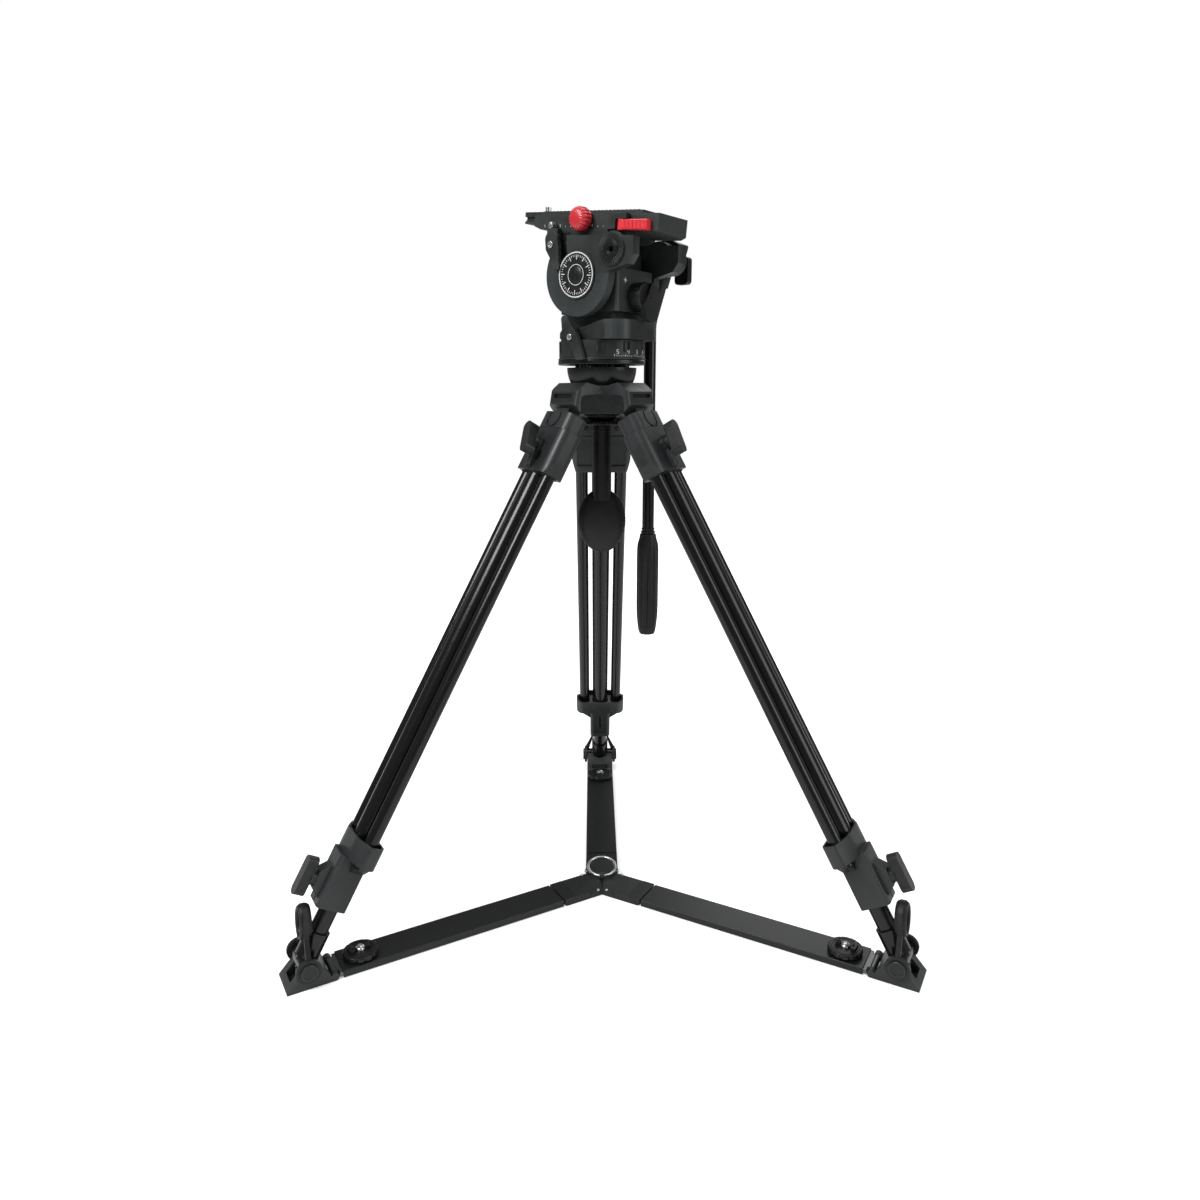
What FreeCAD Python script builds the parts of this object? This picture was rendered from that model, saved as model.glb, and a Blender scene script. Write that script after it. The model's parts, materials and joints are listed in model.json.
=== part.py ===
import FreeCAD, Part
import math
import os

V = FreeCAD.Vector

# A video tripod on a floor spreader, with a 75 mm half-ball fluid head. Millimetres and degrees.
# World: origin on the floor under the pan axis, +Z up, +Y towards the back leg.
# Leg frame: X outwards from the leg axis, Y across the leg, Z = minus the distance down the leg
# from the point where the three leg axes meet.
# Floor frame: X outwards from the tripod axis, Y across the leg, Z up.
# Head frame: X towards the lens end, Y to the head's left, Z up. Tilt frame: the same, level with
# the camera plate, with its origin on the tilt axis.

# ---- tripod layout
LEGS = (("left", 210.0, 31.0), ("right", 330.0, -14.0), ("back", 90.0, 0.0))
APEX_Z = 644.2
LEG_LEAN = 29.94
PIN_S = 76.1
FACE_AZIMUTH_STEP = 60.0
SHAFT_GAP = 0.05
BODY_GAP = 0.3

# ---- crown with its bowl
CROWN_BOTTOM = 571.7
CROWN_TOP = 592.0
FACE_R = 40.0
FACE_HALF = 21.5
LOBE_HALF = 30.5
LOBE_R = 47.5
LOBE_SLOT = (20.0, 588.2, 592.4)
LOBE_SLOT_DEPTH = 2.2
LOBE_TOP = 603.9
LOBE_TIP_TOP = 594.7
LOBE_TIP_BOTTOM = 581.5
BALL_Z = 620.0
BALL_R = 37.5
RIM_Z = 600.0
RIM_WALL = 4.5
THROAT_R = 17.0
CLAMP_R = 53.0
LUG_WIDTH = 22.0
LUG_R = 7.5
HINGE_PIN_R = 3.0

# ---- half ball, flange and pan axle
BALL_TOP = 619.5
BALL_BOTTOM = 588.0
NECK_R = 13.0
POST_R = 5.5
POST_RING_R = 30.0
FLANGE_R = 46.9
FLANGE_Z = 622.3
FLANGE_T = 5.0
AXLE_R = 14.0
AXLE_TOP = 652.0
STUD_R = 6.0
STUD_BOTTOM = 524.0

# ---- tie-down handle
HANDLE_R = 10.5
CUP_R = 20.0
CUP_BOTTOM = 563.0
PADDLE_TOP = 481.0
PADDLE_BOTTOM = 418.3
PADDLE_HALF = 26.0
PADDLE_T = 14.0

# ---- leg: two stages, distances along the leg
CASTING_S = (88.0, 106.6)
CASTING_W = 61.0
CASTING_D = 26.0
COLLAR_S = (107.2, 157.0)
COLLAR_W = 69.0
COLLAR_FOOT_W = 61.0
COLLAR_D = 27.0
CORNER_R = 9.5
CENTRE_TUBE_R = 11.25
TUBE_WALL = 1.2
CENTRE_TUBE_S = (95.0, 640.0)
LOWER_TUBE_R = 10.0
LOWER_TUBE_TOP = 170.0
TWIN_R = 7.25
TWIN_T = 23.25
TWIN_SEAT = 27.0
RIM_S = 576.0
RIM_LENGTH = 24.0
RIM_W = 71.0
RIM_D = 27.0
RIM_FLAT_W = 20.0
CUP_DEPTH = 6.0
NECK_END = 656.0
NECK_W = 30.0
NECK_IN = 13.0
NECK_OUT = 20.0
BOSS_OUT = 30.0
GUIDE_LENGTH = 15.0
UPPER_BOSS_S = 128.0
LOWER_BOSS_S = 632.0
BOSS_R = 9.0
KNOB_SCREW_R = 3.0

# ---- clamp knobs on the legs
WING_LENGTH = 38.0
WING_WIDTH = 13.0
WING_HEIGHT = 15.0
KNOB_HUB_R = 8.0
KNOB_HUB_H = 5.0

# ---- foot, shoe and strap
FOOT_SLEEVE_R = 12.5
FOOT_SLEEVE_S = (684.0, 712.0)
BOSS_S = 718.0
FOOT_BOSS_R = 9.0
FOOT_SHANK_R = 9.5
FOOT_BOSS_HALF = 25.0
SPIKE_R = 6.0
SPIKE_TIP_Z = 4.0
ARM_PIN_X = 332.0
ARM_MID_Z = 4.3
ARM_PIN_R = 2.2
SHOE_LENGTH = 49.0
SHOE_HALF = 20.0
CHEEK_IN = 12.5
STRAP_HOLE_R = 9.0
STRAP_HALF = 14.0
STRAP_LEAN = 3.5
STRAP_WAIST = 30.0
STRAP_TOP_Z = 85.0
STRAP_T = 5.0

# ---- spreader arm and hub
ARM_W = 40.0
ARM_T = 8.0
ARM_WALL = 1.2
ARM_SOLID_END = 26.0
ARM_START = 64.0
ARM_END = 323.5
BAR_INNER = 130.0
ARM_KNOB_X = 300.0
ARM_KNOB_R = 18.5
ARM_KNOB_H = 4.5
HUB_R = 60.0
HUB_RAMP = 46.0
HUB_EDGE_T = 1.0
HUB_PIN_X = 25.0
HUB_PIN_R = 2.5
RING_R = 18.5
RING_WIRE_R = 1.6
RING_TILT = 12.0
RING_EYE_Z = 11.9
LOOP_R = 4.2
LOOP_HALF = 3.0
LOOP_PLAY = 0.45

# ---- head
HEAD_AZIMUTH = 141.9
RING_OUTER_R = 45.8
RING_Z = (629.0, 646.6)
RING_BORE_R = 36.0
SCALLOPS = 10
SCALLOP_R = 7.0
HOUSING_X = (-52.0, 36.0)
HOUSING_Y = (-40.0, 38.0)
HOUSING_Z = (647.2, 666.5)
HOUSING_R = 20.0
HOUSING_WAVE = ((-32.0, 666.5), (-21.0, 664.5), (-10.0, 661.2), (2.0, 659.0), (36.0, 656.0))
CORE_X = (-45.0, 30.0)
CORE_Y = (-30.0, 33.0)
CORE_Z = (674.0, 716.0)
TILT_X = -4.0
TILT_Z = 710.0
TILT_REST = 5.5
CHEEK_R = 40.5
CHEEK_Y = (36.5, 47.0)
FAR_CHEEK_Y = (-43.5, -33.0)
CHEEK_TOP = 37.7
CHEEK_REAR = -67.0
CHEEK_FRONT = 19.7
ROSETTE = (-42.6, 24.9)
ROSETTE_R = 15.5
ROSETTE_PROUD = 2.0
ROSETTE_HOLE_R = 3.0
ROSETTE_HOLE_DEPTH = 10.0
TILT_AXLE_R = 8.0
COVER_R = 23.0
COVER_T = 1.6
BRIDGE_X = (-30.0, 19.0)
BRIDGE_TOP = 44.5
HOLDER_X = (-89.0, 69.0)
HOLDER_Y = (-34.0, 38.0)
HOLDER_T = 7.0
RAIL_TOP = 58.5
FLARE_T = 1.8
FLARE_TOP = 4.3
HOLDER_WALL = 8.0
HOLDER_CHAMFER = (20.0, 22.0)
HOLDER_DROP = 2.3
HOLDER_DROP_FRONT = -32.0
PLATE_X = (-62.0, 93.5)
PLATE_HALF = 26.0
PLATE_Z = (52.0, 63.5)
DOVETAIL = 4.0
SLOT_X = (-34.0, 88.0)
SCREW_R = 3.175
SCREW_X = 84.0
SCREW_RISE = 8.5
CLAMP_KNOB = (1.5, 53.4)
CLAMP_KNOB_R = 11.6
CLAMP_KNOB_Y = (40.0, 53.5)
RELEASE_X = (-80.5, -43.5)
RELEASE_Z = (42.6, 52.4)
RELEASE_OUT = 46.0
RELEASE_PIN = (-49.0, 40.75)
RELEASE_PIN_R = 1.5
TILT_LEVER = (32.9, 28.1)
TILT_LEVER_CAP = (32.6, 33.0, 8.1)
TILT_LEVER_BLADE = ((40.7, 33.0), (39.2, 23.0), (32.8, 14.9), (28.2, 6.5), (20.4, 3.9), (22.2, 25.1),
                    (24.5, 33.0))
TILT_LEVER_Y = (47.4, 52.0)
LUG_ROOT = 8.0
NOTCH_FLOOR = 2.5
TILT_LUG = ((43.5, 44.5), (41.5, 30.0), (37.0, 21.0), (28.5, 21.0), (29.0, 44.5))
NOTCH = ((30.8, 42.0), (17.5, 42.0), (15.0, 24.0), (13.0, 17.5), (14.0, 4.0), (26.5, 2.5), (25.2, 9.4))
PAN_LEVER = (1.8, 649.6)
PAN_LEVER_CAP = (9.0, 667.0, 4.2)
PAN_LEVER_BLADE = ((5.0, 668.5), (0.6, 663.0), (-7.2, 651.7), (-15.9, 626.9), (-6.4, 626.3), (0.8, 639.5),
                   (7.0, 643.9), (15.0, 648.4), (14.9, 653.6), (12.2, 656.7), (13.0, 667.0))
PAN_LEVER_Y = (47.6, 52.0)
PAN_BOSS_R = 2.5
LEVER_SCREW_R = 3.4
SELECTOR = (1.3, 689.0)
SELECTOR_R = 14.5
SELECTOR_T = 14.0
SELECTOR_WING_T = 8.0
SELECTOR_WING = ((-4.0, 14.0), (-13.0, 11.0), (-19.5, 1.0), (-17.5, -12.0), (-8.5, -25.0), (4.0, -22.0),
                 (8.0, -8.0))
BAR_R = 6.75
BAR_WALL = 1.3
BAR_Y = -68.5
BAR_TOP = (-34.6, 724.1)
BAR_BEND = (-15.8, 669.2)
BEND_R = 45.0
GRIP_Z = (310.0, 432.0)
GRIP_R = 12.8
BRACKET_R = 15.0
BRACKET_OUT = -66.0
BRACKET_SLOPE = 6.0
BRACKET_SIDE = ((-52.0, 752.0), (-66.0, 745.0), (-62.0, 733.0), (-46.0, 716.0), (-28.0, 711.0),
                (-24.0, 724.0), (-34.0, 748.0))
FACE_GAP = 0.2
SLEEVE_R = 8.5
SOCKET_LENGTH = 18.0
BAR_SCREW_R = 2.95
BAR_SCREW_GRIP = 8.0
BAR_KNOB_WING = 22.0
BAR_KNOB_HALF = 8.5
BAR_KNOB_HUB_R = 6.5
BAR_KNOB_STEM = 12.5
BAR_KNOB_T = 8.0


# ---- small helpers
def box(x, y, z):
    return Part.makeBox(x[1] - x[0], y[1] - y[0], z[1] - z[0], V(x[0], y[0], z[0]))


def rod(radius, start, end):
    return Part.makeCylinder(radius, end.sub(start).Length, start, end.sub(start))


def upright(radius, z, x=0.0, y=0.0):
    return rod(radius, V(x, y, z[0]), V(x, y, z[1]))


def across(radius, y, x, z):
    return rod(radius, V(x, y[0], z), V(x, y[1], z))


def along(radius, x, y, z):
    return rod(radius, V(x[0], y, z), V(x[1], y, z))


def sphere(radius, z):
    return Part.makeSphere(radius, V(0, 0, z))


def union(first, *others):
    return first.fuse(list(others)).removeSplitter()


def plate_xz(points, y):
    wire = Part.makePolygon([V(a, y[0], b) for a, b in points + points[:1]])
    return Part.Face(wire).extrude(V(0, y[1] - y[0], 0))


def plate_xy(points, z):
    wire = Part.makePolygon([V(a, b, z[0]) for a, b in points + points[:1]])
    return Part.Face(wire).extrude(V(0, 0, z[1] - z[0]))


def edges_along(shape, axis, keep=lambda middle: True):
    chosen = []
    for edge in shape.Edges:
        if edge.Curve.TypeId != "Part::GeomLine":
            continue
        direction = edge.Vertexes[1].Point.sub(edge.Vertexes[0].Point).normalize()
        if abs(direction.dot(axis)) > 0.97 and keep(edge.CenterOfMass):
            chosen.append(edge)
    return chosen


def soften(shape, radius, axis, keep=lambda middle: True):
    return shape.makeFillet(radius, edges_along(shape, axis, keep))


def rounded_bar(depth, width, radius, z):
    bar = box((-depth / 2, depth / 2), (-width / 2, width / 2), z)
    return soften(bar, radius, V(0, 0, 1))


def polar(azimuth, radial, side):
    angle = math.radians(azimuth)
    return (radial * math.cos(angle) - side * math.sin(angle),
            radial * math.sin(angle) + side * math.cos(angle))


def turn(shape, centre, axis, angle):
    moved = shape.copy()
    moved.rotate(centre, axis, angle)
    return moved


def on_floor(shape, azimuth):
    return turn(shape, V(0, 0, 0), V(0, 0, 1), azimuth)


def on_leg(shape, azimuth):
    leaning = turn(shape, V(0, 0, 0), V(0, 1, 0), -LEG_LEAN)
    leaning.translate(V(0, 0, APEX_Z))
    return on_floor(leaning, azimuth)


def on_head(shape):
    return on_floor(shape, HEAD_AZIMUTH)


def on_tilt(shape):
    nose_up = turn(shape, V(0, 0, 0), V(0, 1, 0), -TILT_REST)
    nose_up.translate(V(TILT_X, 0, TILT_Z))
    return on_head(nose_up)


def down_leg(s):
    return (-s[1], -s[0])


def leg_point(s, out):
    lean = math.radians(LEG_LEAN)
    return (s * math.sin(lean) + out * math.cos(lean), APEX_Z - s * math.cos(lean) + out * math.sin(lean))


# ---- crown and half ball
def crown_shape():
    corners = []
    for name, azimuth, knob_turn in LEGS:
        for side in (-FACE_HALF, FACE_HALF):
            corners.append(polar(azimuth + FACE_AZIMUTH_STEP, FACE_R, side))
    corners.sort(key=lambda point: math.atan2(point[1], point[0]))
    body = plate_xy(corners, (CROWN_BOTTOM, CROWN_TOP))
    rim_r = math.sqrt(BALL_R ** 2 - (BALL_Z - RIM_Z) ** 2) + RIM_WALL
    rim = Part.makeCone(rim_r + RIM_WALL, rim_r, RIM_Z - CROWN_TOP + 4, V(0, 0, CROWN_TOP - 4))
    seat = sphere(CLAMP_R, BALL_Z).common(upright(CUP_R + 1, (CROWN_BOTTOM - 8, CROWN_BOTTOM + 2)))
    solid = union(body, rim, seat)
    inner_r = leg_point(CASTING_S[0] - 3, 0)[0]
    lobe_points = [(FACE_R / 2, CROWN_BOTTOM), (FACE_R / 2, RIM_Z), (rim_r, LOBE_TOP),
                   (LOBE_R, LOBE_TIP_TOP), (LOBE_R + 2.5, LOBE_TIP_BOTTOM), (inner_r, CROWN_BOTTOM)]
    lobe = plate_xz(lobe_points, (-LOBE_HALF, LOBE_HALF))
    lobe = soften(lobe, 5.0, V(0, 0, 1), lambda middle: middle.x > FACE_R)
    slot_half = LUG_WIDTH / 2 + BODY_GAP
    pin_x, pin_z = leg_point(PIN_S, 0)
    slot_top = pin_z + LUG_R + 1.5
    for name, azimuth, knob_turn in LEGS:
        solid = solid.fuse(on_floor(lobe, azimuth))
    solid = solid.removeSplitter()
    slot_x = (pin_x - LUG_R - 3.5, pin_x + LUG_R + 2 * BODY_GAP)
    low_z = CROWN_BOTTOM - 9
    lean = math.radians(LEG_LEAN)
    turn_z = pin_z + LUG_R * math.sin(lean)
    low_x = slot_x[1] + (turn_z - low_z) * math.tan(lean)
    slot = plate_xz([(slot_x[0], low_z), (slot_x[0], slot_top), (slot_x[1], slot_top),
                     (slot_x[1], turn_z), (low_x, low_z)], (-slot_half, slot_half))
    half, low, high = LOBE_SLOT
    window = box((LOBE_R - LOBE_SLOT_DEPTH, LOBE_R + 5), (-half, half), (low, high))
    hole = across(HINGE_PIN_R, (-LOBE_HALF - 5, LOBE_HALF + 5), pin_x, pin_z)
    for name, azimuth, knob_turn in LEGS:
        solid = solid.cut([on_floor(cut, azimuth) for cut in (slot, hole, window)])
    solid = solid.cut([sphere(BALL_R + BODY_GAP, BALL_Z), upright(THROAT_R, (CROWN_BOTTOM - 20, RIM_Z))])
    pins = []
    for name, azimuth, knob_turn in LEGS:
        pins.append(on_floor(across(HINGE_PIN_R, (-LOBE_HALF, LOBE_HALF), pin_x, pin_z), azimuth))
    return Part.makeCompound([solid] + pins)


def half_ball_shape():
    ball = sphere(BALL_R, BALL_Z).common(upright(BALL_R, (BALL_BOTTOM, BALL_TOP)))
    neck = upright(NECK_R, (BALL_TOP - 2, FLANGE_Z + 1))
    flange = upright(FLANGE_R, (FLANGE_Z, FLANGE_Z + FLANGE_T))
    flange = flange.makeFillet(1.2, flange.Edges[:1] + flange.Edges[2:])
    axle = upright(AXLE_R, (FLANGE_Z + FLANGE_T - 1, AXLE_TOP))
    stud = upright(STUD_R, (STUD_BOTTOM, BALL_BOTTOM + 4))
    posts = []
    for step in range(4):
        x, y = polar(HEAD_AZIMUTH + 90 * step, POST_RING_R, 0)
        posts.append(upright(POST_R, (BALL_TOP - 2, FLANGE_Z + 1), x, y))
    return union(ball, neck, flange, axle, stud, *posts)


def tie_down_shape():
    grip = upright(HANDLE_R, (PADDLE_TOP - 4, CUP_BOTTOM + 4))
    cup = Part.makeCone(HANDLE_R + 1, CUP_R, 6, V(0, 0, CUP_BOTTOM))
    cup = cup.fuse(upright(CUP_R, (CUP_BOTTOM + 6, CROWN_BOTTOM + 2)))
    cup = cup.cut(sphere(CLAMP_R + BODY_GAP, BALL_Z))
    middle = (PADDLE_TOP + PADDLE_BOTTOM) / 2
    paddle = Part.makeSphere(PADDLE_HALF, V(0, 0, 0))
    stretch = FreeCAD.Matrix()
    stretch.scale(1.0, PADDLE_T / (2 * PADDLE_HALF), (PADDLE_TOP - PADDLE_BOTTOM + 8) / (2 * PADDLE_HALF))
    paddle = paddle.transformGeometry(stretch)
    paddle.translate(V(0, 0, middle + 4))
    bore = upright(STUD_R + SHAFT_GAP, (STUD_BOTTOM - 6, CROWN_BOTTOM + 2))
    return union(grip, cup, paddle).cut(bore)


# ---- leg pieces
def hinge_casting_shape():
    barrel = rounded_bar(CASTING_D, CASTING_W, CORNER_R, down_leg(CASTING_S))
    lug = box((-LUG_R, LUG_R), (-LUG_WIDTH / 2, LUG_WIDTH / 2), (-CASTING_S[0] - 4, -PIN_S))
    eye = across(LUG_R, (-LUG_WIDTH / 2, LUG_WIDTH / 2), 0, -PIN_S)
    socket = upright(CENTRE_TUBE_R, down_leg((CENTRE_TUBE_S[0], CASTING_S[1] + 1)))
    hole = across(HINGE_PIN_R + SHAFT_GAP, (-LUG_WIDTH, LUG_WIDTH), 0, -PIN_S)
    dish_x = (CASTING_D / 2 - 1.2, CASTING_D / 2 + 1)
    dish = along(13.0, dish_x, 0, -CASTING_S[0] - 7)
    dish = dish.cut(along(10.0, dish_x, 0, -CASTING_S[0] - 7))
    return union(barrel, lug, eye).cut([socket, hole, dish])


def centre_tube_shape():
    s = down_leg(CENTRE_TUBE_S)
    bore = upright(CENTRE_TUBE_R - TUBE_WALL, (s[0] - 1, s[1] - 2))
    return upright(CENTRE_TUBE_R, s).cut(bore)


def upper_collar_shape():
    s = down_leg(COLLAR_S)
    wide = rounded_bar(COLLAR_D, COLLAR_W, CORNER_R, s)
    taper_start = -COLLAR_S[1] + 14.0
    side = COLLAR_W / 2
    foot = COLLAR_FOOT_W / 2
    wedge_points = [(side, taper_start), (side + 5, taper_start), (side + 5, s[0] - 1), (foot, s[0] - 1),
                    (foot, s[0])]
    wedges = []
    for sign in (-1, 1):
        wire = Part.makePolygon([V(-COLLAR_D, sign * a, b) for a, b in wedge_points + wedge_points[:1]])
        wedges.append(Part.Face(wire).extrude(V(2 * COLLAR_D, 0, 0)))
    panels = []
    for sign in (-1, 1):
        middle = sign * (COLLAR_W / 4)
        panels.append(box((-COLLAR_D / 2 - 1, -COLLAR_D / 2 + 1.5), (middle - 11, middle + 11),
                          (s[0] + 9, s[1] - 9)))
    boss = along(BOSS_R, (0, COLLAR_D / 2 + 5), 0, -UPPER_BOSS_S)
    tab = box((COLLAR_D / 2 - 3, COLLAR_D / 2 + 5), (-6, 6), (-COLLAR_S[1] + 3, -UPPER_BOSS_S))
    split = box((CENTRE_TUBE_R - 2, COLLAR_D), (-0.8, 0.8), (s[0] - 1, -UPPER_BOSS_S - BOSS_R - 2))
    guide = upright(CENTRE_TUBE_R + SHAFT_GAP, (s[0] - 1, s[1] + 1))
    seats = [upright(TWIN_R, (s[0] - 1, s[0] + TWIN_SEAT), 0, sign * TWIN_T) for sign in (-1, 1)]
    return union(wide, boss, tab).cut(wedges + panels + seats + [split, guide])


def twin_tubes_shape():
    z = (-RIM_S - TWIN_SEAT, -COLLAR_S[1] + TWIN_SEAT)
    tubes = []
    for sign in (-1, 1):
        bore = upright(TWIN_R - TUBE_WALL, (z[0] - 1, z[1] + 1), 0, sign * TWIN_T)
        tubes.append(upright(TWIN_R, z, 0, sign * TWIN_T).cut(bore))
    return Part.makeCompound(tubes)


def lower_casting_shape():
    rim_end = RIM_S + RIM_LENGTH
    rim = rounded_bar(RIM_D, RIM_W, CORNER_R, down_leg((RIM_S, rim_end)))
    flat = RIM_FLAT_W / 2
    side = RIM_W / 2
    facets = []
    for sign in (-1, 1):
        points = [(RIM_D / 2 + 0.5, sign * flat), (RIM_D / 2 + 5, sign * flat),
                  (RIM_D / 2 + 5, sign * (side + 2)), (1.5, sign * (side + 2)), (1.5, sign * (side - 2.5))]
        facets.append(plate_xy(points, down_leg((RIM_S - 1, rim_end + 1))))
    neck = box((-NECK_IN, NECK_OUT), (-NECK_W / 2, NECK_W / 2), down_leg((rim_end - 2, NECK_END)))
    neck = soften(neck, 4.0, V(0, 0, 1))
    shoulder = [(side - 4, -rim_end + 2), (NECK_W / 2, -rim_end - 13), (-NECK_W / 2, -rim_end - 13),
                (4 - side, -rim_end + 2)]
    wire = Part.makePolygon([V(-NECK_IN + 2, a, b) for a, b in shoulder + shoulder[:1]])
    web = Part.Face(wire).extrude(V(NECK_IN - 2 + 4, 0, 0))
    nose_points = [(NECK_OUT - 3, -LOWER_BOSS_S + 22), (BOSS_OUT, -LOWER_BOSS_S + 9),
                   (BOSS_OUT, -LOWER_BOSS_S - 9), (NECK_OUT - 3, -LOWER_BOSS_S - 20)]
    nose = plate_xz(nose_points, (-7.5, 7.5))
    solid = union(rim.cut(facets), neck, web, nose)
    window = box((-NECK_IN - 1, -NECK_IN + 1.5), (-9, 9), (-NECK_END + 8, -rim_end - 8))
    guide_top = -NECK_END + GUIDE_LENGTH
    cuts = [upright(CENTRE_TUBE_R + 0.5, (guide_top, -RIM_S + 1)),
            upright(LOWER_TUBE_R + SHAFT_GAP, (-NECK_END - 1, guide_top + 1)), window]
    cuts.append(box((LOWER_TUBE_R - 2, BOSS_OUT + 1), (-0.8, 0.8), (-NECK_END - 1, guide_top - 2)))
    for sign in (-1, 1):
        cuts.append(upright(TWIN_R, (-RIM_S - TWIN_SEAT, -RIM_S + 1), 0, sign * TWIN_T))
    lip = rounded_bar(RIM_D - 5, RIM_W - 5, CORNER_R - 2.5, (-RIM_S - CUP_DEPTH, -RIM_S + 1))
    return solid.cut(cuts + [lip])


def lower_tube_shape():
    tip_s = (APEX_Z - SPIKE_TIP_Z) / math.cos(math.radians(LEG_LEAN))
    sleeve = upright(FOOT_SLEEVE_R, down_leg(FOOT_SLEEVE_S))
    boss = across(FOOT_BOSS_R, (-FOOT_BOSS_HALF, FOOT_BOSS_HALF), 0, -BOSS_S)
    spike = Part.makeCone(1.0, SPIKE_R, tip_s - BOSS_S - 4, V(0, 0, -tip_s))
    shank = upright(FOOT_SHANK_R, down_leg((FOOT_SLEEVE_S[1] - 1, BOSS_S)))
    tube = upright(LOWER_TUBE_R, down_leg((LOWER_TUBE_TOP, FOOT_SLEEVE_S[0] + 1)))
    bore = upright(LOWER_TUBE_R - TUBE_WALL, down_leg((LOWER_TUBE_TOP - 1, FOOT_SLEEVE_S[0])))
    inner = upright(SPIKE_R - 0.5, down_leg((BOSS_S, tip_s - 12)))
    return union(tube, sleeve, boss, shank, inner, spike).cut(bore)


def wing_knob(length, height, screw_depth):
    hub = along(KNOB_HUB_R, (0, KNOB_HUB_H), 0, 0)
    wing = box((KNOB_HUB_H - 1, height), (-WING_WIDTH / 2, WING_WIDTH / 2), (-length / 2, length / 2))
    wing = soften(wing, WING_WIDTH / 2 - 0.5, V(1, 0, 0))
    screw = along(KNOB_SCREW_R, (-screw_depth, 1), 0, 0)
    return union(hub, wing, screw)


def leg_knob(boss_face, boss_s, length, knob_turn):
    knob = wing_knob(length, WING_HEIGHT, 0.0)
    knob = turn(knob, V(0, 0, 0), V(1, 0, 0), knob_turn)
    knob.translate(V(boss_face + BODY_GAP, 0, -boss_s))
    return knob


# ---- foot pieces, in the floor frame
def boss_centre():
    return leg_point(BOSS_S, 0)


def shoe_shape():
    boss_x, boss_z = boss_centre()
    knuckle_r = ARM_MID_Z
    toe = ARM_PIN_X + SHOE_LENGTH
    profile = [(ARM_PIN_X, 0.0), (toe, 0.0), (toe, 1.8), (toe - 17, 20.0),
               (boss_x + 9, boss_z + 8), (boss_x - 9, boss_z + 5), (ARM_PIN_X + 6.5, 12.5),
               (ARM_PIN_X + 3.8, ARM_MID_Z + 2)]
    body = plate_xz(profile, (-SHOE_HALF, SHOE_HALF))
    knuckle = across(knuckle_r, (-SHOE_HALF, SHOE_HALF), ARM_PIN_X, ARM_MID_Z)
    tongue = box((ARM_PIN_X - 10, ARM_PIN_X + 6.5), (-CHEEK_IN, CHEEK_IN), (-1, 14))
    saddle = across(FOOT_BOSS_R, (-FOOT_BOSS_HALF, FOOT_BOSS_HALF), boss_x, boss_z)
    mouth = box((boss_x - FOOT_BOSS_R, boss_x + FOOT_BOSS_R), (-SHOE_HALF - 1, SHOE_HALF + 1),
                (boss_z, boss_z + 20))
    pocket_half = FOOT_SHANK_R + BODY_GAP
    pocket = box((boss_x - 12, boss_x + 17), (-pocket_half, pocket_half), (2.0, boss_z + 20))
    pin_hole = across(ARM_PIN_R, (-SHOE_HALF - 1, SHOE_HALF + 1), ARM_PIN_X, ARM_MID_Z)
    sleeve_end = down_leg((FOOT_SLEEVE_S[0], FOOT_SLEEVE_S[1] + BODY_GAP))
    sleeve = on_leg(upright(FOOT_SLEEVE_R + BODY_GAP, sleeve_end), 0)
    solid = union(body, knuckle).cut([tongue, saddle, mouth, pocket, pin_hole, sleeve])
    pin = across(ARM_PIN_R, (-SHOE_HALF, SHOE_HALF), ARM_PIN_X, ARM_MID_Z)
    return Part.makeCompound([solid, pin])


def strap_shape():
    boss_x, boss_z = boss_centre()
    eye_r = FOOT_BOSS_R + 4.0
    arm_y = (SHOE_HALF + 0.6, FOOT_BOSS_HALF - 0.6)
    waist_z = boss_z + STRAP_WAIST
    loop_z = STRAP_TOP_Z - STRAP_HALF
    outline = [(-arm_y[1], boss_z), (-arm_y[0], boss_z), (-STRAP_HALF + 4, waist_z + 4),
               (STRAP_HALF - 4, waist_z + 4), (arm_y[0], boss_z), (arm_y[1], boss_z), (arm_y[1], boss_z + 10),
               (STRAP_HALF, waist_z), (STRAP_HALF, loop_z), (-STRAP_HALF, loop_z), (-STRAP_HALF, waist_z),
               (-arm_y[1], boss_z + 10)]
    wire = Part.makePolygon([V(boss_x - STRAP_T / 2, a, b) for a, b in outline + outline[:1]])
    band = Part.Face(wire).extrude(V(STRAP_T, 0, 0))
    ring = along(STRAP_HALF, (boss_x - STRAP_T / 2, boss_x + STRAP_T / 2), 0, loop_z)
    hole_x = (boss_x - STRAP_T, boss_x + STRAP_T)
    holes = [along(STRAP_HOLE_R, hole_x, 0, loop_z), along(STRAP_HOLE_R, hole_x, 0, waist_z + 8),
             box(hole_x, (-STRAP_HOLE_R, STRAP_HOLE_R), (waist_z + 8, loop_z))]
    eyes = []
    for sign in (-1, 1):
        y = sorted((sign * arm_y[0], sign * arm_y[1]))
        eyes.append(across(eye_r, y, boss_x, boss_z))
    bore = across(FOOT_BOSS_R + SHAFT_GAP, (-FOOT_BOSS_HALF - 1, FOOT_BOSS_HALF + 1), boss_x, boss_z)
    strap = union(band.fuse(ring).cut(holes), *eyes).cut(bore)
    return turn(strap, V(boss_x, 0, boss_z), V(0, 1, 0), -STRAP_LEAN)


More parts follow.
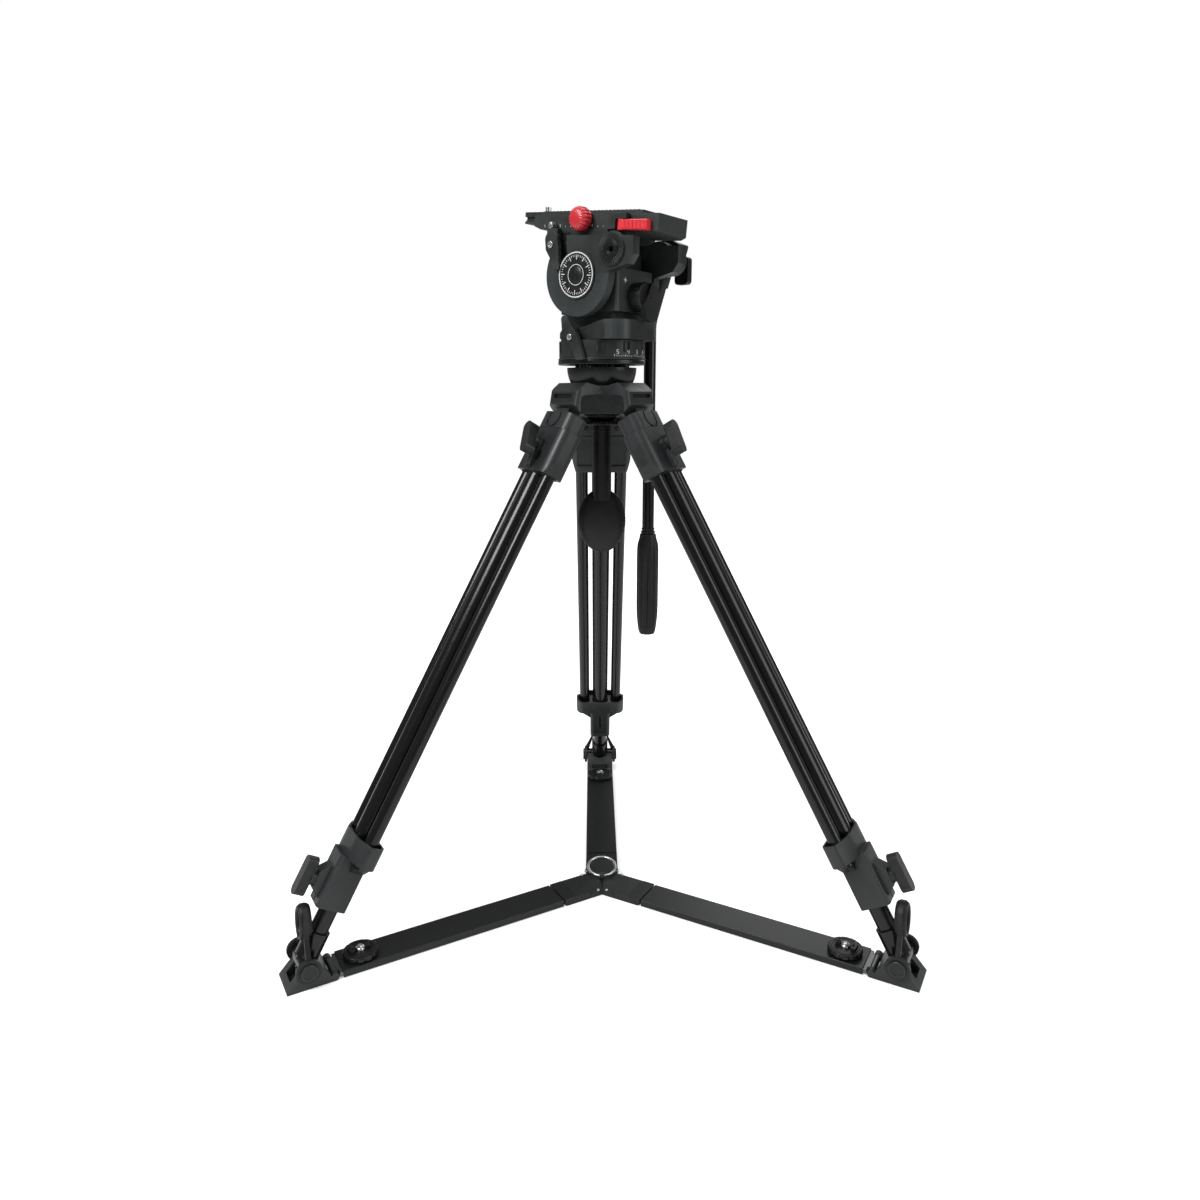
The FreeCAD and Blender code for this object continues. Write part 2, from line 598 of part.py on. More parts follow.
# ---- spreader pieces, in the floor frame
def arm_bar_shape():
    half_t = ARM_T / 2 - ARM_WALL - BODY_GAP
    half_w = ARM_W / 2 - ARM_WALL - BODY_GAP
    z = (ARM_MID_Z - half_t, ARM_MID_Z + half_t)
    flat = box((BAR_INNER, ARM_PIN_X - 5), (-half_w, half_w), z)
    tongue_half = CHEEK_IN - BODY_GAP
    tongue = box((ARM_PIN_X - 6, ARM_PIN_X), (-tongue_half, tongue_half), z)
    knuckle = across(ARM_T / 2 - 0.3, (-tongue_half, tongue_half), ARM_PIN_X, ARM_MID_Z)
    hole = across(ARM_PIN_R + SHAFT_GAP, (-CHEEK_IN, CHEEK_IN), ARM_PIN_X, ARM_MID_Z)
    return union(flat, tongue, knuckle).cut(hole)


def arm_channel_shape():
    z = (ARM_MID_Z - ARM_T / 2, ARM_MID_Z + ARM_T / 2)
    outer = box((ARM_START, ARM_END), (-ARM_W / 2, ARM_W / 2), z)
    outer = soften(outer, 1.0, V(1, 0, 0))
    cavity = box((ARM_START + ARM_SOLID_END, ARM_END + 1), (-ARM_W / 2 + ARM_WALL, ARM_W / 2 - ARM_WALL),
                 (z[0] + ARM_WALL, z[1] - ARM_WALL))
    boss = upright(6.0, (z[1] - 0.5, z[1] + 1.5), ARM_KNOB_X, 0)
    return union(outer, boss).cut(cavity)


def arm_knob_shape():
    base = ARM_MID_Z + ARM_T / 2 + 1.5 + BODY_GAP
    disc = upright(ARM_KNOB_R, (base, base + ARM_KNOB_H), ARM_KNOB_X, 0)
    disc = disc.makeFillet(1.5, [disc.Edges[0]])
    notches = []
    for step in range(12):
        angle = math.radians(30 * step)
        notches.append(upright(2.2, (base - 1, base + ARM_KNOB_H + 1),
                               ARM_KNOB_X + (ARM_KNOB_R + 0.8) * math.cos(angle),
                               (ARM_KNOB_R + 0.8) * math.sin(angle)))
    stud = upright(3.2, (base + 1, base + ARM_KNOB_H + 2.5), ARM_KNOB_X, 0)
    fin = box((ARM_KNOB_X + 7, ARM_KNOB_X + 12), (-7, 7), (base + 2, base + ARM_KNOB_H + 4.0))
    fin = soften(fin, 2.0, V(0, 0, 1))
    return union(disc.cut(notches), stud, fin)


def hub_shape():
    z = (0.0, ARM_MID_Z + ARM_T / 2)
    profile = [(0, z[0]), (HUB_R, z[0]), (HUB_R, z[0] + HUB_EDGE_T), (HUB_RAMP, z[1]), (0, z[1])]
    stub = plate_xz(profile, (-ARM_W / 2, ARM_W / 2))
    solid = on_floor(stub, LEGS[0][1])
    for name, azimuth, knob_turn in LEGS[1:]:
        solid = solid.fuse(on_floor(stub, azimuth))
    seams = []
    for name, azimuth, knob_turn in LEGS:
        seam = box((2.0, 30.0), (-0.5, 0.5), (z[1] - 1.5, z[1] + 1))
        seams.append(on_floor(seam, azimuth + FACE_AZIMUTH_STEP))
    pin = across(HUB_PIN_R, (-ARM_W / 2 - 0.8, ARM_W / 2 + 0.8), HUB_PIN_X, ARM_MID_Z)
    pins = [on_floor(pin, azimuth) for name, azimuth, knob_turn in LEGS]
    x = (-LOOP_HALF, LOOP_HALF)
    eye = along(RING_WIRE_R + LOOP_PLAY, (x[0] - 1, x[1] + 1), 0, RING_EYE_Z)
    loop = along(LOOP_R, x, 0, RING_EYE_Z).fuse(box(x, (-LOOP_R, LOOP_R), (z[1] - 1, RING_EYE_Z)))
    return union(solid.removeSplitter().cut(seams), loop.cut(eye), *pins)


def hub_ring_shape():
    ring = Part.makeTorus(RING_R - RING_WIRE_R, RING_WIRE_R)
    ring.translate(V(0, RING_R - RING_WIRE_R, RING_EYE_Z))
    return turn(ring, V(0, 0, RING_EYE_Z), V(1, 0, 0), RING_TILT)


# ---- head pieces
def drag_ring_shape():
    ring = upright(RING_OUTER_R, RING_Z).cut(upright(RING_BORE_R, (RING_Z[0] - 1, RING_Z[1] + 1)))
    cuts = []
    for step in range(SCALLOPS):
        x, y = polar(360.0 / SCALLOPS * (step + 0.5), RING_OUTER_R + SCALLOP_R - 1.8, 0)
        cuts.append(upright(SCALLOP_R, (RING_Z[0] + 6, RING_Z[1] - 1.5), x, y))
    return ring.cut(cuts)


def pan_housing_shape():
    skirt = upright(RING_BORE_R - SHAFT_GAP, (FLANGE_Z + FLANGE_T + BODY_GAP, HOUSING_Z[0] + 2))
    band = soften(box(HOUSING_X, HOUSING_Y, HOUSING_Z), HOUSING_R, V(0, 0, 1))
    above = [(HOUSING_X[1] + 1, HOUSING_WAVE[-1][1]), (HOUSING_X[1] + 1, HOUSING_Z[1] + 1),
             (HOUSING_WAVE[0][0], HOUSING_Z[1] + 1)]
    dip = plate_xz(list(HOUSING_WAVE) + above, (HOUSING_Y[0] - 1, HOUSING_Y[1] + 1))
    neck_z = (HOUSING_Z[0] + 4, CORE_Z[0] + 2)
    neck = box((CORE_X[0] + 6, CORE_X[1] - 2), (CORE_Y[0] + 4, CORE_Y[1] - 4), neck_z)
    core = soften(box(CORE_X, CORE_Y, CORE_Z), 3.0, V(0, 0, 1))
    head = along(26.0, (CORE_Y[0] + 5, CORE_Y[1]), 0, 0)
    head = turn(head, V(0, 0, 0), V(0, 0, 1), 90)
    head.translate(V(TILT_X, 0, TILT_Z))
    cap_z = (CORE_Z[1] - 2, CORE_Z[1] + 20)
    cap = box((CORE_X[0] + 12, CORE_X[1] - 4), (CORE_Y[0] + 5, CORE_Y[1] - 3), cap_z)
    cap = soften(cap, 4.0, V(0, 1, 0), lambda middle: middle.z > CORE_Z[1])
    axle = across(TILT_AXLE_R, (FAR_CHEEK_Y[0] + 2, CHEEK_Y[1] - COVER_T - 2), TILT_X, TILT_Z)
    lever_boss = across(PAN_BOSS_R, (HOUSING_Y[1] - 4, PAN_LEVER_Y[0] - FACE_GAP), *PAN_LEVER)
    bore = upright(AXLE_R + SHAFT_GAP, (FLANGE_Z, AXLE_TOP + 1))
    solid = union(skirt, band.cut(dip), neck, core, head, cap, axle, lever_boss)
    return solid.cut(bore)


def cheek(y, outline_r):
    disc = across(outline_r, y, 0, 0)
    ear = plate_xz([(CHEEK_FRONT, 20.0), (CHEEK_FRONT, CHEEK_TOP), (CHEEK_REAR, CHEEK_TOP),
                    (CHEEK_REAR - 1.5, 21.0), (CHEEK_REAR + 4, 12.0), (-38.0, 4.0), (0.0, 0.0)], y)
    boss = across(ROSETTE_R + 1.5, y, *ROSETTE)
    above = box((ROSETTE[0] + ROSETTE_R, outline_r), (y[0] - 1, y[1] + 1), (CHEEK_TOP, outline_r + 1))
    return disc.fuse([ear, boss]).cut(above)


def tilt_frame_shape():
    near = cheek(CHEEK_Y, CHEEK_R)
    far = cheek(FAR_CHEEK_Y, CHEEK_R)
    bridge = box(BRIDGE_X, (FAR_CHEEK_Y[0], CLAMP_KNOB_Y[0] - BODY_GAP), (CHEEK_TOP - 1.5, BRIDGE_TOP))
    lug_root = box((BRIDGE_X[1] - 2, TILT_LUG[0][0]), (CHEEK_Y[0] - LUG_ROOT, CLAMP_KNOB_Y[0] - BODY_GAP),
                   (CHEEK_TOP + 3, BRIDGE_TOP))
    near_rosette = across(ROSETTE_R, (CHEEK_Y[1] - 1, CHEEK_Y[1] + ROSETTE_PROUD), *ROSETTE)
    far_rosette = across(ROSETTE_R, (FAR_CHEEK_Y[0] - ROSETTE_PROUD, FAR_CHEEK_Y[0] + 1), *ROSETTE)
    solid = union(near, far, bridge, near_rosette, far_rosette)
    solid = solid.cut(plate_xz(list(NOTCH), (CHEEK_Y[0] + NOTCH_FLOOR, CHEEK_Y[1] + 1)))
    solid = union(solid, plate_xz(list(TILT_LUG), (CHEEK_Y[0], CHEEK_Y[1])), lug_root)
    cuts = [across(TILT_AXLE_R + SHAFT_GAP, (FAR_CHEEK_Y[0] - 1, CHEEK_Y[1] + 1), 0, 0),
            across(COVER_R, (CHEEK_Y[1] - COVER_T, CHEEK_Y[1] + 1), 0, 0)]
    cuts.append(across(ROSETTE_HOLE_R, (CHEEK_Y[1] + ROSETTE_PROUD - ROSETTE_HOLE_DEPTH,
                                        CHEEK_Y[1] + ROSETTE_PROUD + 1), *ROSETTE))
    cuts.append(across(ROSETTE_HOLE_R, (FAR_CHEEK_Y[0] - ROSETTE_PROUD - 1,
                                        FAR_CHEEK_Y[0] - ROSETTE_PROUD + ROSETTE_HOLE_DEPTH), *ROSETTE))
    return solid.cut(cuts)


def side_cover_shape():
    return across(COVER_R, (CHEEK_Y[1] - COVER_T, CHEEK_Y[1] + 0.2), 0, 0)


def plate_holder_shape():
    base_z = (BRIDGE_TOP, BRIDGE_TOP + HOLDER_T)
    base = box(HOLDER_X, HOLDER_Y, base_z)
    base = base.cut(plate_xz([(HOLDER_X[1] - 12, base_z[0] - 1), (HOLDER_X[1] + 1, base_z[0] - 1),
                              (HOLDER_X[1] + 1, base_z[0] + 3.5)], (HOLDER_Y[0] - 1, HOLDER_Y[1] + 1)))
    drop = box((HOLDER_X[0], HOLDER_DROP_FRONT), HOLDER_Y, (base_z[0] - HOLDER_DROP, base_z[0] + 1))
    base = base.fuse(drop)
    block = box(HOLDER_X, HOLDER_Y, (base_z[1] - 0.5, RAIL_TOP))
    corner = (HOLDER_X[0], HOLDER_Y[0])
    far = (corner[0] + HOLDER_CHAMFER[0], corner[1] + HOLDER_CHAMFER[1])
    chamfer = plate_xy([(corner[0] - 1, corner[1] - 1), (far[0], corner[1] - 1), (far[0], corner[1]),
                        (corner[0], far[1]), (corner[0] - 1, far[1])], (base_z[0] - 5, RAIL_TOP + 1))
    groove_half = PLATE_HALF + BODY_GAP
    top = RAIL_TOP + 1
    low = PLATE_Z[0] - BODY_GAP
    wire_points = [(-groove_half, low), (groove_half, low), (groove_half, low + 2.0),
                   (groove_half - DOVETAIL + 1.5, low + 4.5), (groove_half - DOVETAIL + 1.5, top),
                   (-groove_half + DOVETAIL - 1.5, top), (-groove_half + DOVETAIL - 1.5, low + 4.5),
                   (-groove_half, low + 2.0)]
    wire = Part.makePolygon([V(HOLDER_X[0] + HOLDER_WALL, a, b) for a, b in wire_points + wire_points[:1]])
    groove = Part.Face(wire).extrude(V(HOLDER_X[1] - HOLDER_X[0], 0, 0))
    lever_seat = box((RELEASE_X[0] - BODY_GAP, RELEASE_X[1] + BODY_GAP), (HOLDER_Y[1] - 3, HOLDER_Y[1] + 1),
                     (RELEASE_Z[0] - BODY_GAP, RELEASE_Z[1] + BODY_GAP))
    ear_y = (HOLDER_Y[1] - 1, RELEASE_OUT - 1)
    ear = box((RELEASE_X[1] + 1, RELEASE_X[1] + 12), ear_y, (RELEASE_Z[0] + 1, RAIL_TOP))
    roof = box((RELEASE_PIN[0] - 6, RELEASE_X[1] + 2), ear_y, (RELEASE_Z[1] + BODY_GAP, RAIL_TOP))
    pin = upright(RELEASE_PIN_R, (RELEASE_Z[0] + 0.5, RELEASE_Z[1] + 1), *RELEASE_PIN)
    shank = across(4.0 + SHAFT_GAP, (PLATE_HALF + 3, HOLDER_Y[1] + 1), *CLAMP_KNOB)
    return union(union(base, block, ear, roof).cut([groove, chamfer, lever_seat, shank]), pin)


def camera_plate_shape():
    step = PLATE_Z[0] + FLARE_TOP
    half = PLATE_HALF
    inner = half - DOVETAIL + 1.0
    ledge = RAIL_TOP + BODY_GAP
    right = [(half, PLATE_Z[0]), (half, PLATE_Z[0] + FLARE_T), (inner, step), (inner, ledge), (half, ledge),
             (half, PLATE_Z[1])]
    points = right + [(-y, z) for y, z in reversed(right)]
    wire = Part.makePolygon([V(PLATE_X[0], a, b) for a, b in points + points[:1]])
    plate = Part.Face(wire).extrude(V(PLATE_X[1] - PLATE_X[0], 0, 0))
    slot = slot_prism(SCREW_R + SHAFT_GAP, (PLATE_Z[0] - 1, PLATE_Z[1] + 1))
    counterbore = slot_prism(SCREW_R + 4.2, (PLATE_Z[0] - 1, PLATE_Z[0] + 5.0))
    return plate.cut([slot, counterbore])


def slot_prism(radius, z):
    ends = [upright(radius, z, x, 0) for x in SLOT_X]
    return union(box(SLOT_X, (-radius, radius), z), *ends)


def camera_screw_shape():
    head = upright(SCREW_R + 3.6, (PLATE_Z[0] + 0.6, PLATE_Z[0] + 4.7), SCREW_X, 0)
    shank = upright(SCREW_R, (PLATE_Z[0] + 4, PLATE_Z[1] + SCREW_RISE), SCREW_X, 0)
    coin_slot = box((SCREW_X - 8, SCREW_X + 8), (-0.8, 0.8), (PLATE_Z[0], PLATE_Z[0] + 2))
    return union(head, shank).cut(coin_slot)


def clamp_knob_shape():
    x, z = CLAMP_KNOB
    knob = across(CLAMP_KNOB_R, CLAMP_KNOB_Y, x, z)
    knob = knob.makeFillet(2.0, [knob.Edges[0], knob.Edges[2]])
    shank = across(4.0, (PLATE_HALF + 5, CLAMP_KNOB_Y[0] + 2), x, z)
    return union(knob, shank)


def release_lever_shape():
    inner_y = HOLDER_Y[1] - 2.5
    lever = box((RELEASE_X[0], RELEASE_PIN[0]), (inner_y, RELEASE_OUT), RELEASE_Z)
    lever = soften(lever, 2.0, V(1, 0, 0), lambda middle: middle.y > HOLDER_Y[1])
    end = upright((RELEASE_OUT - inner_y) / 2, RELEASE_Z, *RELEASE_PIN)
    hole = upright(RELEASE_PIN_R + SHAFT_GAP, (RELEASE_Z[0] - 1, RELEASE_Z[1] + 1), *RELEASE_PIN)
    return union(lever, end).cut(hole)


def brake_lever(blade, cap, pivot, y):
    solid = union(plate_xz(list(blade), y), across(cap[2], y, cap[0], cap[1]))
    return union(solid, across(LEVER_SCREW_R, (y[1] - 1, y[1] + 0.5), *pivot))


def tilt_brake_lever_shape():
    return brake_lever(TILT_LEVER_BLADE, TILT_LEVER_CAP, TILT_LEVER, TILT_LEVER_Y)


def pan_brake_lever_shape():
    return brake_lever(PAN_LEVER_BLADE, PAN_LEVER_CAP, PAN_LEVER, PAN_LEVER_Y)


def selector_shape():
    y, z = SELECTOR
    face = CORE_X[0] - BODY_GAP
    drum = along(SELECTOR_R, (face - SELECTOR_T, face), y, z)
    drum = drum.makeFillet(1.5, [drum.Edges[0], drum.Edges[2]])
    outline = [V(face - SELECTOR_T - 4, y + a, z + b) for a, b in SELECTOR_WING + SELECTOR_WING[:1]]
    wire = Part.makePolygon(outline)
    wing = Part.Face(wire).extrude(V(SELECTOR_WING_T, 0, 0))
    return union(drum, soften(wing, 2.0, V(1, 0, 0)))


# ---- pan bar
def pivot_place():
    lean = math.radians(TILT_REST)
    x = TILT_X + ROSETTE[0] * math.cos(lean) - ROSETTE[1] * math.sin(lean)
    z = TILT_Z + ROSETTE[0] * math.sin(lean) + ROSETTE[1] * math.cos(lean)
    return (x, z)


def bar_path(bottom):
    start = V(BAR_TOP[0], BAR_Y, BAR_TOP[1])
    corner = V(BAR_BEND[0], BAR_Y, BAR_BEND[1])
    end = V(BAR_BEND[0], BAR_Y, bottom)
    entry = start.sub(corner).normalize()
    leave = end.sub(corner).normalize()
    half_turn = (math.pi - entry.getAngle(leave)) / 2
    cutback = BEND_R * math.tan(half_turn)
    arc_start = corner.add(entry * cutback)
    arc_end = corner.add(leave * cutback)
    inward = entry.add(leave).normalize()
    middle = corner.add(inward * (BEND_R / math.cos(half_turn) - BEND_R))
    arc = Part.Arc(arc_start, middle, arc_end).toShape()
    top = Part.LineSegment(start, arc_start).toShape()
    return Part.Wire([top, arc, Part.LineSegment(arc_end, end).toShape()])


def bar_solid(radius, bottom):
    path = bar_path(bottom)
    start = path.Vertexes[0].Point
    direction = path.Edges[0].tangentAt(path.Edges[0].FirstParameter)
    section = Part.Wire(Part.makeCircle(radius, start, direction))
    return path.makePipeShell([section], True, True)


def pan_bar_shape():
    bottom = GRIP_Z[0] + 6
    return bar_solid(BAR_R, bottom).cut(bar_solid(BAR_R - BAR_WALL, bottom - 1))


def bar_grip_shape():
    grip = upright(GRIP_R, GRIP_Z, BAR_BEND[0], BAR_Y)
    grip = grip.makeFillet(3.0, [grip.Edges[0], grip.Edges[2]])
    return grip.cut(upright(BAR_R, (GRIP_Z[0] + 6, GRIP_Z[1] + 1), BAR_BEND[0], BAR_Y))


def bracket_span():
    return (BRACKET_OUT, FAR_CHEEK_Y[0] - ROSETTE_PROUD - FACE_GAP)


def bracket_shape():
    x, z = pivot_place()
    span = bracket_span()
    hub = across(BRACKET_R, span, x, z)
    start = V(BAR_TOP[0], BAR_Y, BAR_TOP[1])
    heading = V(BAR_BEND[0], BAR_Y, BAR_BEND[1]).sub(start).normalize()
    sleeve = rod(SLEEVE_R, start.sub(heading * 4), start.add(heading * SOCKET_LENGTH))
    reach = SOCKET_LENGTH * 2
    beyond = box((x - reach, x + reach), (span[1], 0), (z - reach, z + reach))
    cheek_block = soften(plate_xz(list(BRACKET_SIDE), (span[0], span[1] - 1)), 2.5, V(0, 1, 0))
    bore = rod(BAR_R, start, start.add(heading * (SOCKET_LENGTH + SLEEVE_R * 2)))
    eye = across(BAR_SCREW_R + SHAFT_GAP, (span[0] - 1, span[1] + 1), x, z)
    top = BRACKET_SIDE[0][1]
    slope = [V(x - reach, span[0] - 1, top - BRACKET_SLOPE), V(x - reach, span[1], top),
             V(x - reach, span[1], top + 5), V(x - reach, span[0] - 1, top + 5)]
    wedge = Part.Face(Part.makePolygon(slope + slope[:1])).extrude(V(2 * reach, 0, 0))
    return union(hub, sleeve, cheek_block).cut([bore, eye, beyond, wedge])


def bar_knob_shape():
    x, z = pivot_place()
    face = bracket_span()[0] - BODY_GAP
    stem_end = face - BAR_KNOB_STEM
    hub = across(BAR_KNOB_HUB_R, (stem_end - 1, face), x, z)
    wing = box((x - BAR_KNOB_HALF, x + BAR_KNOB_HALF), (stem_end - BAR_KNOB_T, stem_end),
               (z - BAR_KNOB_WING, z + BAR_KNOB_HUB_R))
    wing = soften(wing, 4.0, V(0, 1, 0))
    screw = across(BAR_SCREW_R, (face - 1, FAR_CHEEK_Y[0] - ROSETTE_PROUD + BAR_SCREW_GRIP), x, z)
    return union(hub, wing, screw)


# ---- build every node
def save(name, shape):
    shape.exportStep("parts/%s.step" % name)


def build_legs():
    upper_face = COLLAR_D / 2 + 5
    for name, azimuth, knob_turn in LEGS:
        in_leg = {"hinge_casting": hinge_casting_shape(), "centre_tube": centre_tube_shape(),
                  "upper_collar": upper_collar_shape(), "twin_tubes": twin_tubes_shape(),
                  "lower_casting": lower_casting_shape(), "lower_tube": lower_tube_shape(),
                  "upper_knob": leg_knob(upper_face, UPPER_BOSS_S, WING_LENGTH, knob_turn),
                  "lower_knob": leg_knob(BOSS_OUT, LOWER_BOSS_S, WING_LENGTH + 4, 0.0)}
        on_ground = {"shoe": shoe_shape(), "strap": strap_shape(), "arm_bar": arm_bar_shape(),
                     "arm_channel": arm_channel_shape(), "arm_knob": arm_knob_shape()}
        for piece, shape in in_leg.items():
            save(name + "_" + piece, on_leg(shape, azimuth))
        for piece, shape in on_ground.items():
            save(name + "_" + piece, on_floor(shape, azimuth))


def build_head():
    in_head = {"pan_housing": pan_housing_shape(), "drag_ring": drag_ring_shape(),
               "pan_brake_lever": pan_brake_lever_shape(), "balance_selector": selector_shape(),
               "pan_bar": pan_bar_shape(), "bar_grip": bar_grip_shape(), "bar_bracket": bracket_shape(),
               "bar_clamp_knob": bar_knob_shape()}
    in_tilt = {"tilt_frame": tilt_frame_shape(), "side_cover": side_cover_shape(),
               "plate_holder": plate_holder_shape(), "camera_plate": camera_plate_shape(),
               "camera_screw": camera_screw_shape(), "clamp_knob": clamp_knob_shape(),
               "release_lever": release_lever_shape(), "tilt_brake_lever": tilt_brake_lever_shape()}
    for piece, shape in in_head.items():
        save(piece, on_head(shape))
    for piece, shape in in_tilt.items():
        save(piece, on_tilt(shape))


os.makedirs("parts", exist_ok=True)
save("crown", crown_shape())
save("half_ball", half_ball_shape())
save("tie_down_handle", tie_down_shape())
save("spreader_hub", hub_shape())
save("hub_ring", hub_ring_shape())
build_legs()
build_head()
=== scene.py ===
import json
import math

import bmesh
import bpy
from mathutils import Matrix, Vector


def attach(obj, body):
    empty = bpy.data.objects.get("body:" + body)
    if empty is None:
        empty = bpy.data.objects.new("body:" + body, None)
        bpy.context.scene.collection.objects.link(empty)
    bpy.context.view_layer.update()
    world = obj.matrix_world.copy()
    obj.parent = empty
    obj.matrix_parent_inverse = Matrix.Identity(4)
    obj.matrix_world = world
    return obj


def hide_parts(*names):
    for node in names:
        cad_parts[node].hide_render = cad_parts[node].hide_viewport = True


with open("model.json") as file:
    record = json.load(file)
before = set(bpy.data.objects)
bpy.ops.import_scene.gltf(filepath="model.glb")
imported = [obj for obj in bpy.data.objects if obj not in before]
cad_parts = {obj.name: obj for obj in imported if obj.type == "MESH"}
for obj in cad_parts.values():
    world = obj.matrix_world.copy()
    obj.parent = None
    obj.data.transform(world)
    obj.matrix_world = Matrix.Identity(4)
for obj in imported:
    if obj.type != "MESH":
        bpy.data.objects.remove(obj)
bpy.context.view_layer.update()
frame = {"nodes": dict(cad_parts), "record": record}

# ---- sizes and places that the part's source names too, in millimetres and degrees
LEGS = {"left": 210.0, "right": 330.0, "back": 90.0}
FACE_AZIMUTH_STEP = 60.0
APEX_Z = 644.2
LEG_LEAN = 29.94
TWIN_T = 23.25
BALL_R = 37.5
BALL_Z = 620.0
RIM_Z = 600.0
HEAD_AZIMUTH = 141.9
RING_OUTER_R = 45.8
TILT_X = -4.0
TILT_Z = 710.0
TILT_REST = 5.5
ROSETTE = (-42.6, 24.9)
TILT_LEVER = (32.9, 28.1)
PAN_LEVER = (1.8, 649.6)
CLAMP_KNOB = (1.5, 53.4)
RELEASE_OUT = 46.0
SELECTOR = (1.3, 689.0)
STRAP_LEAN = 3.5
ARM_KNOB_X = 300.0

# ---- other places on the solids, in millimetres
ROSETTE_FACE = 49.0
COVER_FACE = 48.6
PLATE_TOP = 63.5
PAN_BAR = (-15.8, -68.5)
FOOT_PIVOT = (358.3, 22.05)

MM = Matrix.Scale(0.001, 4)


def turned(degrees, axis):
    return Matrix.Rotation(math.radians(degrees), 4, axis)


def floor_place(leg, step=0.0):
    """Upright at the model's origin, with X towards the leg, or step degrees past it."""
    return MM @ turned(LEGS[leg] + step, "Z")


def leg_place(leg):
    """Along the leg, with Z up its centre tube and zero at the apex of the legs."""
    return floor_place(leg) @ Matrix.Translation((0, 0, APEX_Z)) @ turned(-LEG_LEAN, "Y")


WORLD = MM
HEAD = MM @ turned(HEAD_AZIMUTH, "Z")
TILT = HEAD @ Matrix.Translation((TILT_X, 0, TILT_Z)) @ turned(-TILT_REST, "Y")

# ---- procedural materials, with lengths in metres
COAT_ROUGHNESS = 0.1
NOISE_ROUGHNESS = 0.5
MIDDLE_OF_NOISE = (0.3, 0.7)
MOTTLE = (0.35, 0.65)
BROAD_SCALE = 35.0
GLOSS_SCALE = 120.0
MARK_SCALE = 600.0
PAINT_GLOSS = (0.05, 0.07)
METAL_GLOSS = (0.04, 0.08)
METAL_TROUGH = 0.86
BEVEL_SAMPLES = 4
PAINT_EDGE = 0.0006
PAINT_RELIEF = 0.0002
METAL_EDGE = 0.0004
METAL_RELIEF = 0.0001
METAL_BUMP = 0.08
# painted edge highlight: sharp convex edges are mixed towards a paler tone
EDGE_HIGHLIGHT_FROM, EDGE_HIGHLIGHT_TO = 0.52, 0.62
EDGE_HIGHLIGHT_AMOUNT = 0.55
EDGE_HIGHLIGHT_GAIN, EDGE_HIGHLIGHT_LIFT = 1.9, 0.01
BLACK = (0, 0, 0)


def shader(name, colour, roughness, metallic=0.0, coat=0.0, specular=0.5):
    material = bpy.data.materials.new(name)
    material.use_nodes = True
    nodes = material.node_tree.nodes
    links = material.node_tree.links
    bsdf = nodes["Principled BSDF"]
    bsdf.inputs["Base Color"].default_value = (*colour, 1)
    bsdf.inputs["Roughness"].default_value = roughness
    bsdf.inputs["Metallic"].default_value = metallic
    bsdf.inputs["Coat Weight"].default_value = coat
    bsdf.inputs["Coat Roughness"].default_value = COAT_ROUGHNESS
    bsdf.inputs["Specular IOR Level"].default_value = specular
    return material, nodes, links, bsdf


def noise(nodes, links, scale, detail=2.0):
    where = nodes.new("ShaderNodeTexCoord")
    tex = nodes.new("ShaderNodeTexNoise")
    tex.inputs["Scale"].default_value = scale
    tex.inputs["Detail"].default_value = detail
    tex.inputs["Roughness"].default_value = NOISE_ROUGHNESS
    links.new(where.outputs["Object"], tex.inputs["Vector"])
    return tex.outputs["Fac"]


def ramp(nodes, links, fac, start, end):
    """A colour between two (position, colour) stops."""
    ramped = nodes.new("ShaderNodeValToRGB")
    for element, (position, colour) in zip(ramped.color_ramp.elements, (start, end)):
        element.position, element.color = position, (*colour, 1)
    links.new(fac, ramped.inputs["Fac"])
    return ramped.outputs["Color"]


def mapped(nodes, links, value, target, source=(0.0, 1.0)):
    """A value taken from the source range to the target range, both (low, high)."""
    node = nodes.new("ShaderNodeMapRange")
    node.inputs["From Min"].default_value, node.inputs["From Max"].default_value = source
    node.inputs["To Min"].default_value, node.inputs["To Max"].default_value = target
    links.new(value, node.inputs["Value"])
    return node.outputs["Result"]


def combined(nodes, links, operation, first, second):
    node = nodes.new("ShaderNodeMath")
    node.operation = operation
    links.new(first, node.inputs[0])
    links.new(second, node.inputs[1])
    return node.outputs["Value"]


def relief(nodes, links, bsdf, height, strength, distance, edge):
    """Bump from a height, over edges that a bevel rounds where edge isn't zero."""
    bump = nodes.new("ShaderNodeBump")
    bump.inputs["Strength"].default_value = strength
    bump.inputs["Distance"].default_value = distance
    links.new(height, bump.inputs["Height"])
    if edge:
        bevel = nodes.new("ShaderNodeBevel")
        bevel.samples = BEVEL_SAMPLES
        bevel.inputs["Radius"].default_value = edge
        links.new(bevel.outputs["Normal"], bump.inputs["Normal"])
    links.new(bump.outputs["Normal"], bsdf.inputs["Normal"])


def painted_edge_highlight(nodes, links, base, light):
    """A painted highlight: paler than light on sharp convex edges; base is a colour socket."""
    geometry = nodes.new("ShaderNodeNewGeometry")
    highlight_mask = ramp(nodes, links, geometry.outputs["Pointiness"],
                (EDGE_HIGHLIGHT_FROM, BLACK), (EDGE_HIGHLIGHT_TO, (EDGE_HIGHLIGHT_AMOUNT,) * 3))
    mix = nodes.new("ShaderNodeMix")
    mix.data_type = "RGBA"
    links.new(highlight_mask, mix.inputs["Factor"])
    links.new(base, mix.inputs["A"])
    mix.inputs["B"].default_value = (*(min(1, EDGE_HIGHLIGHT_GAIN * c + EDGE_HIGHLIGHT_LIFT) for c in light), 1)
    return mix.outputs["Result"]


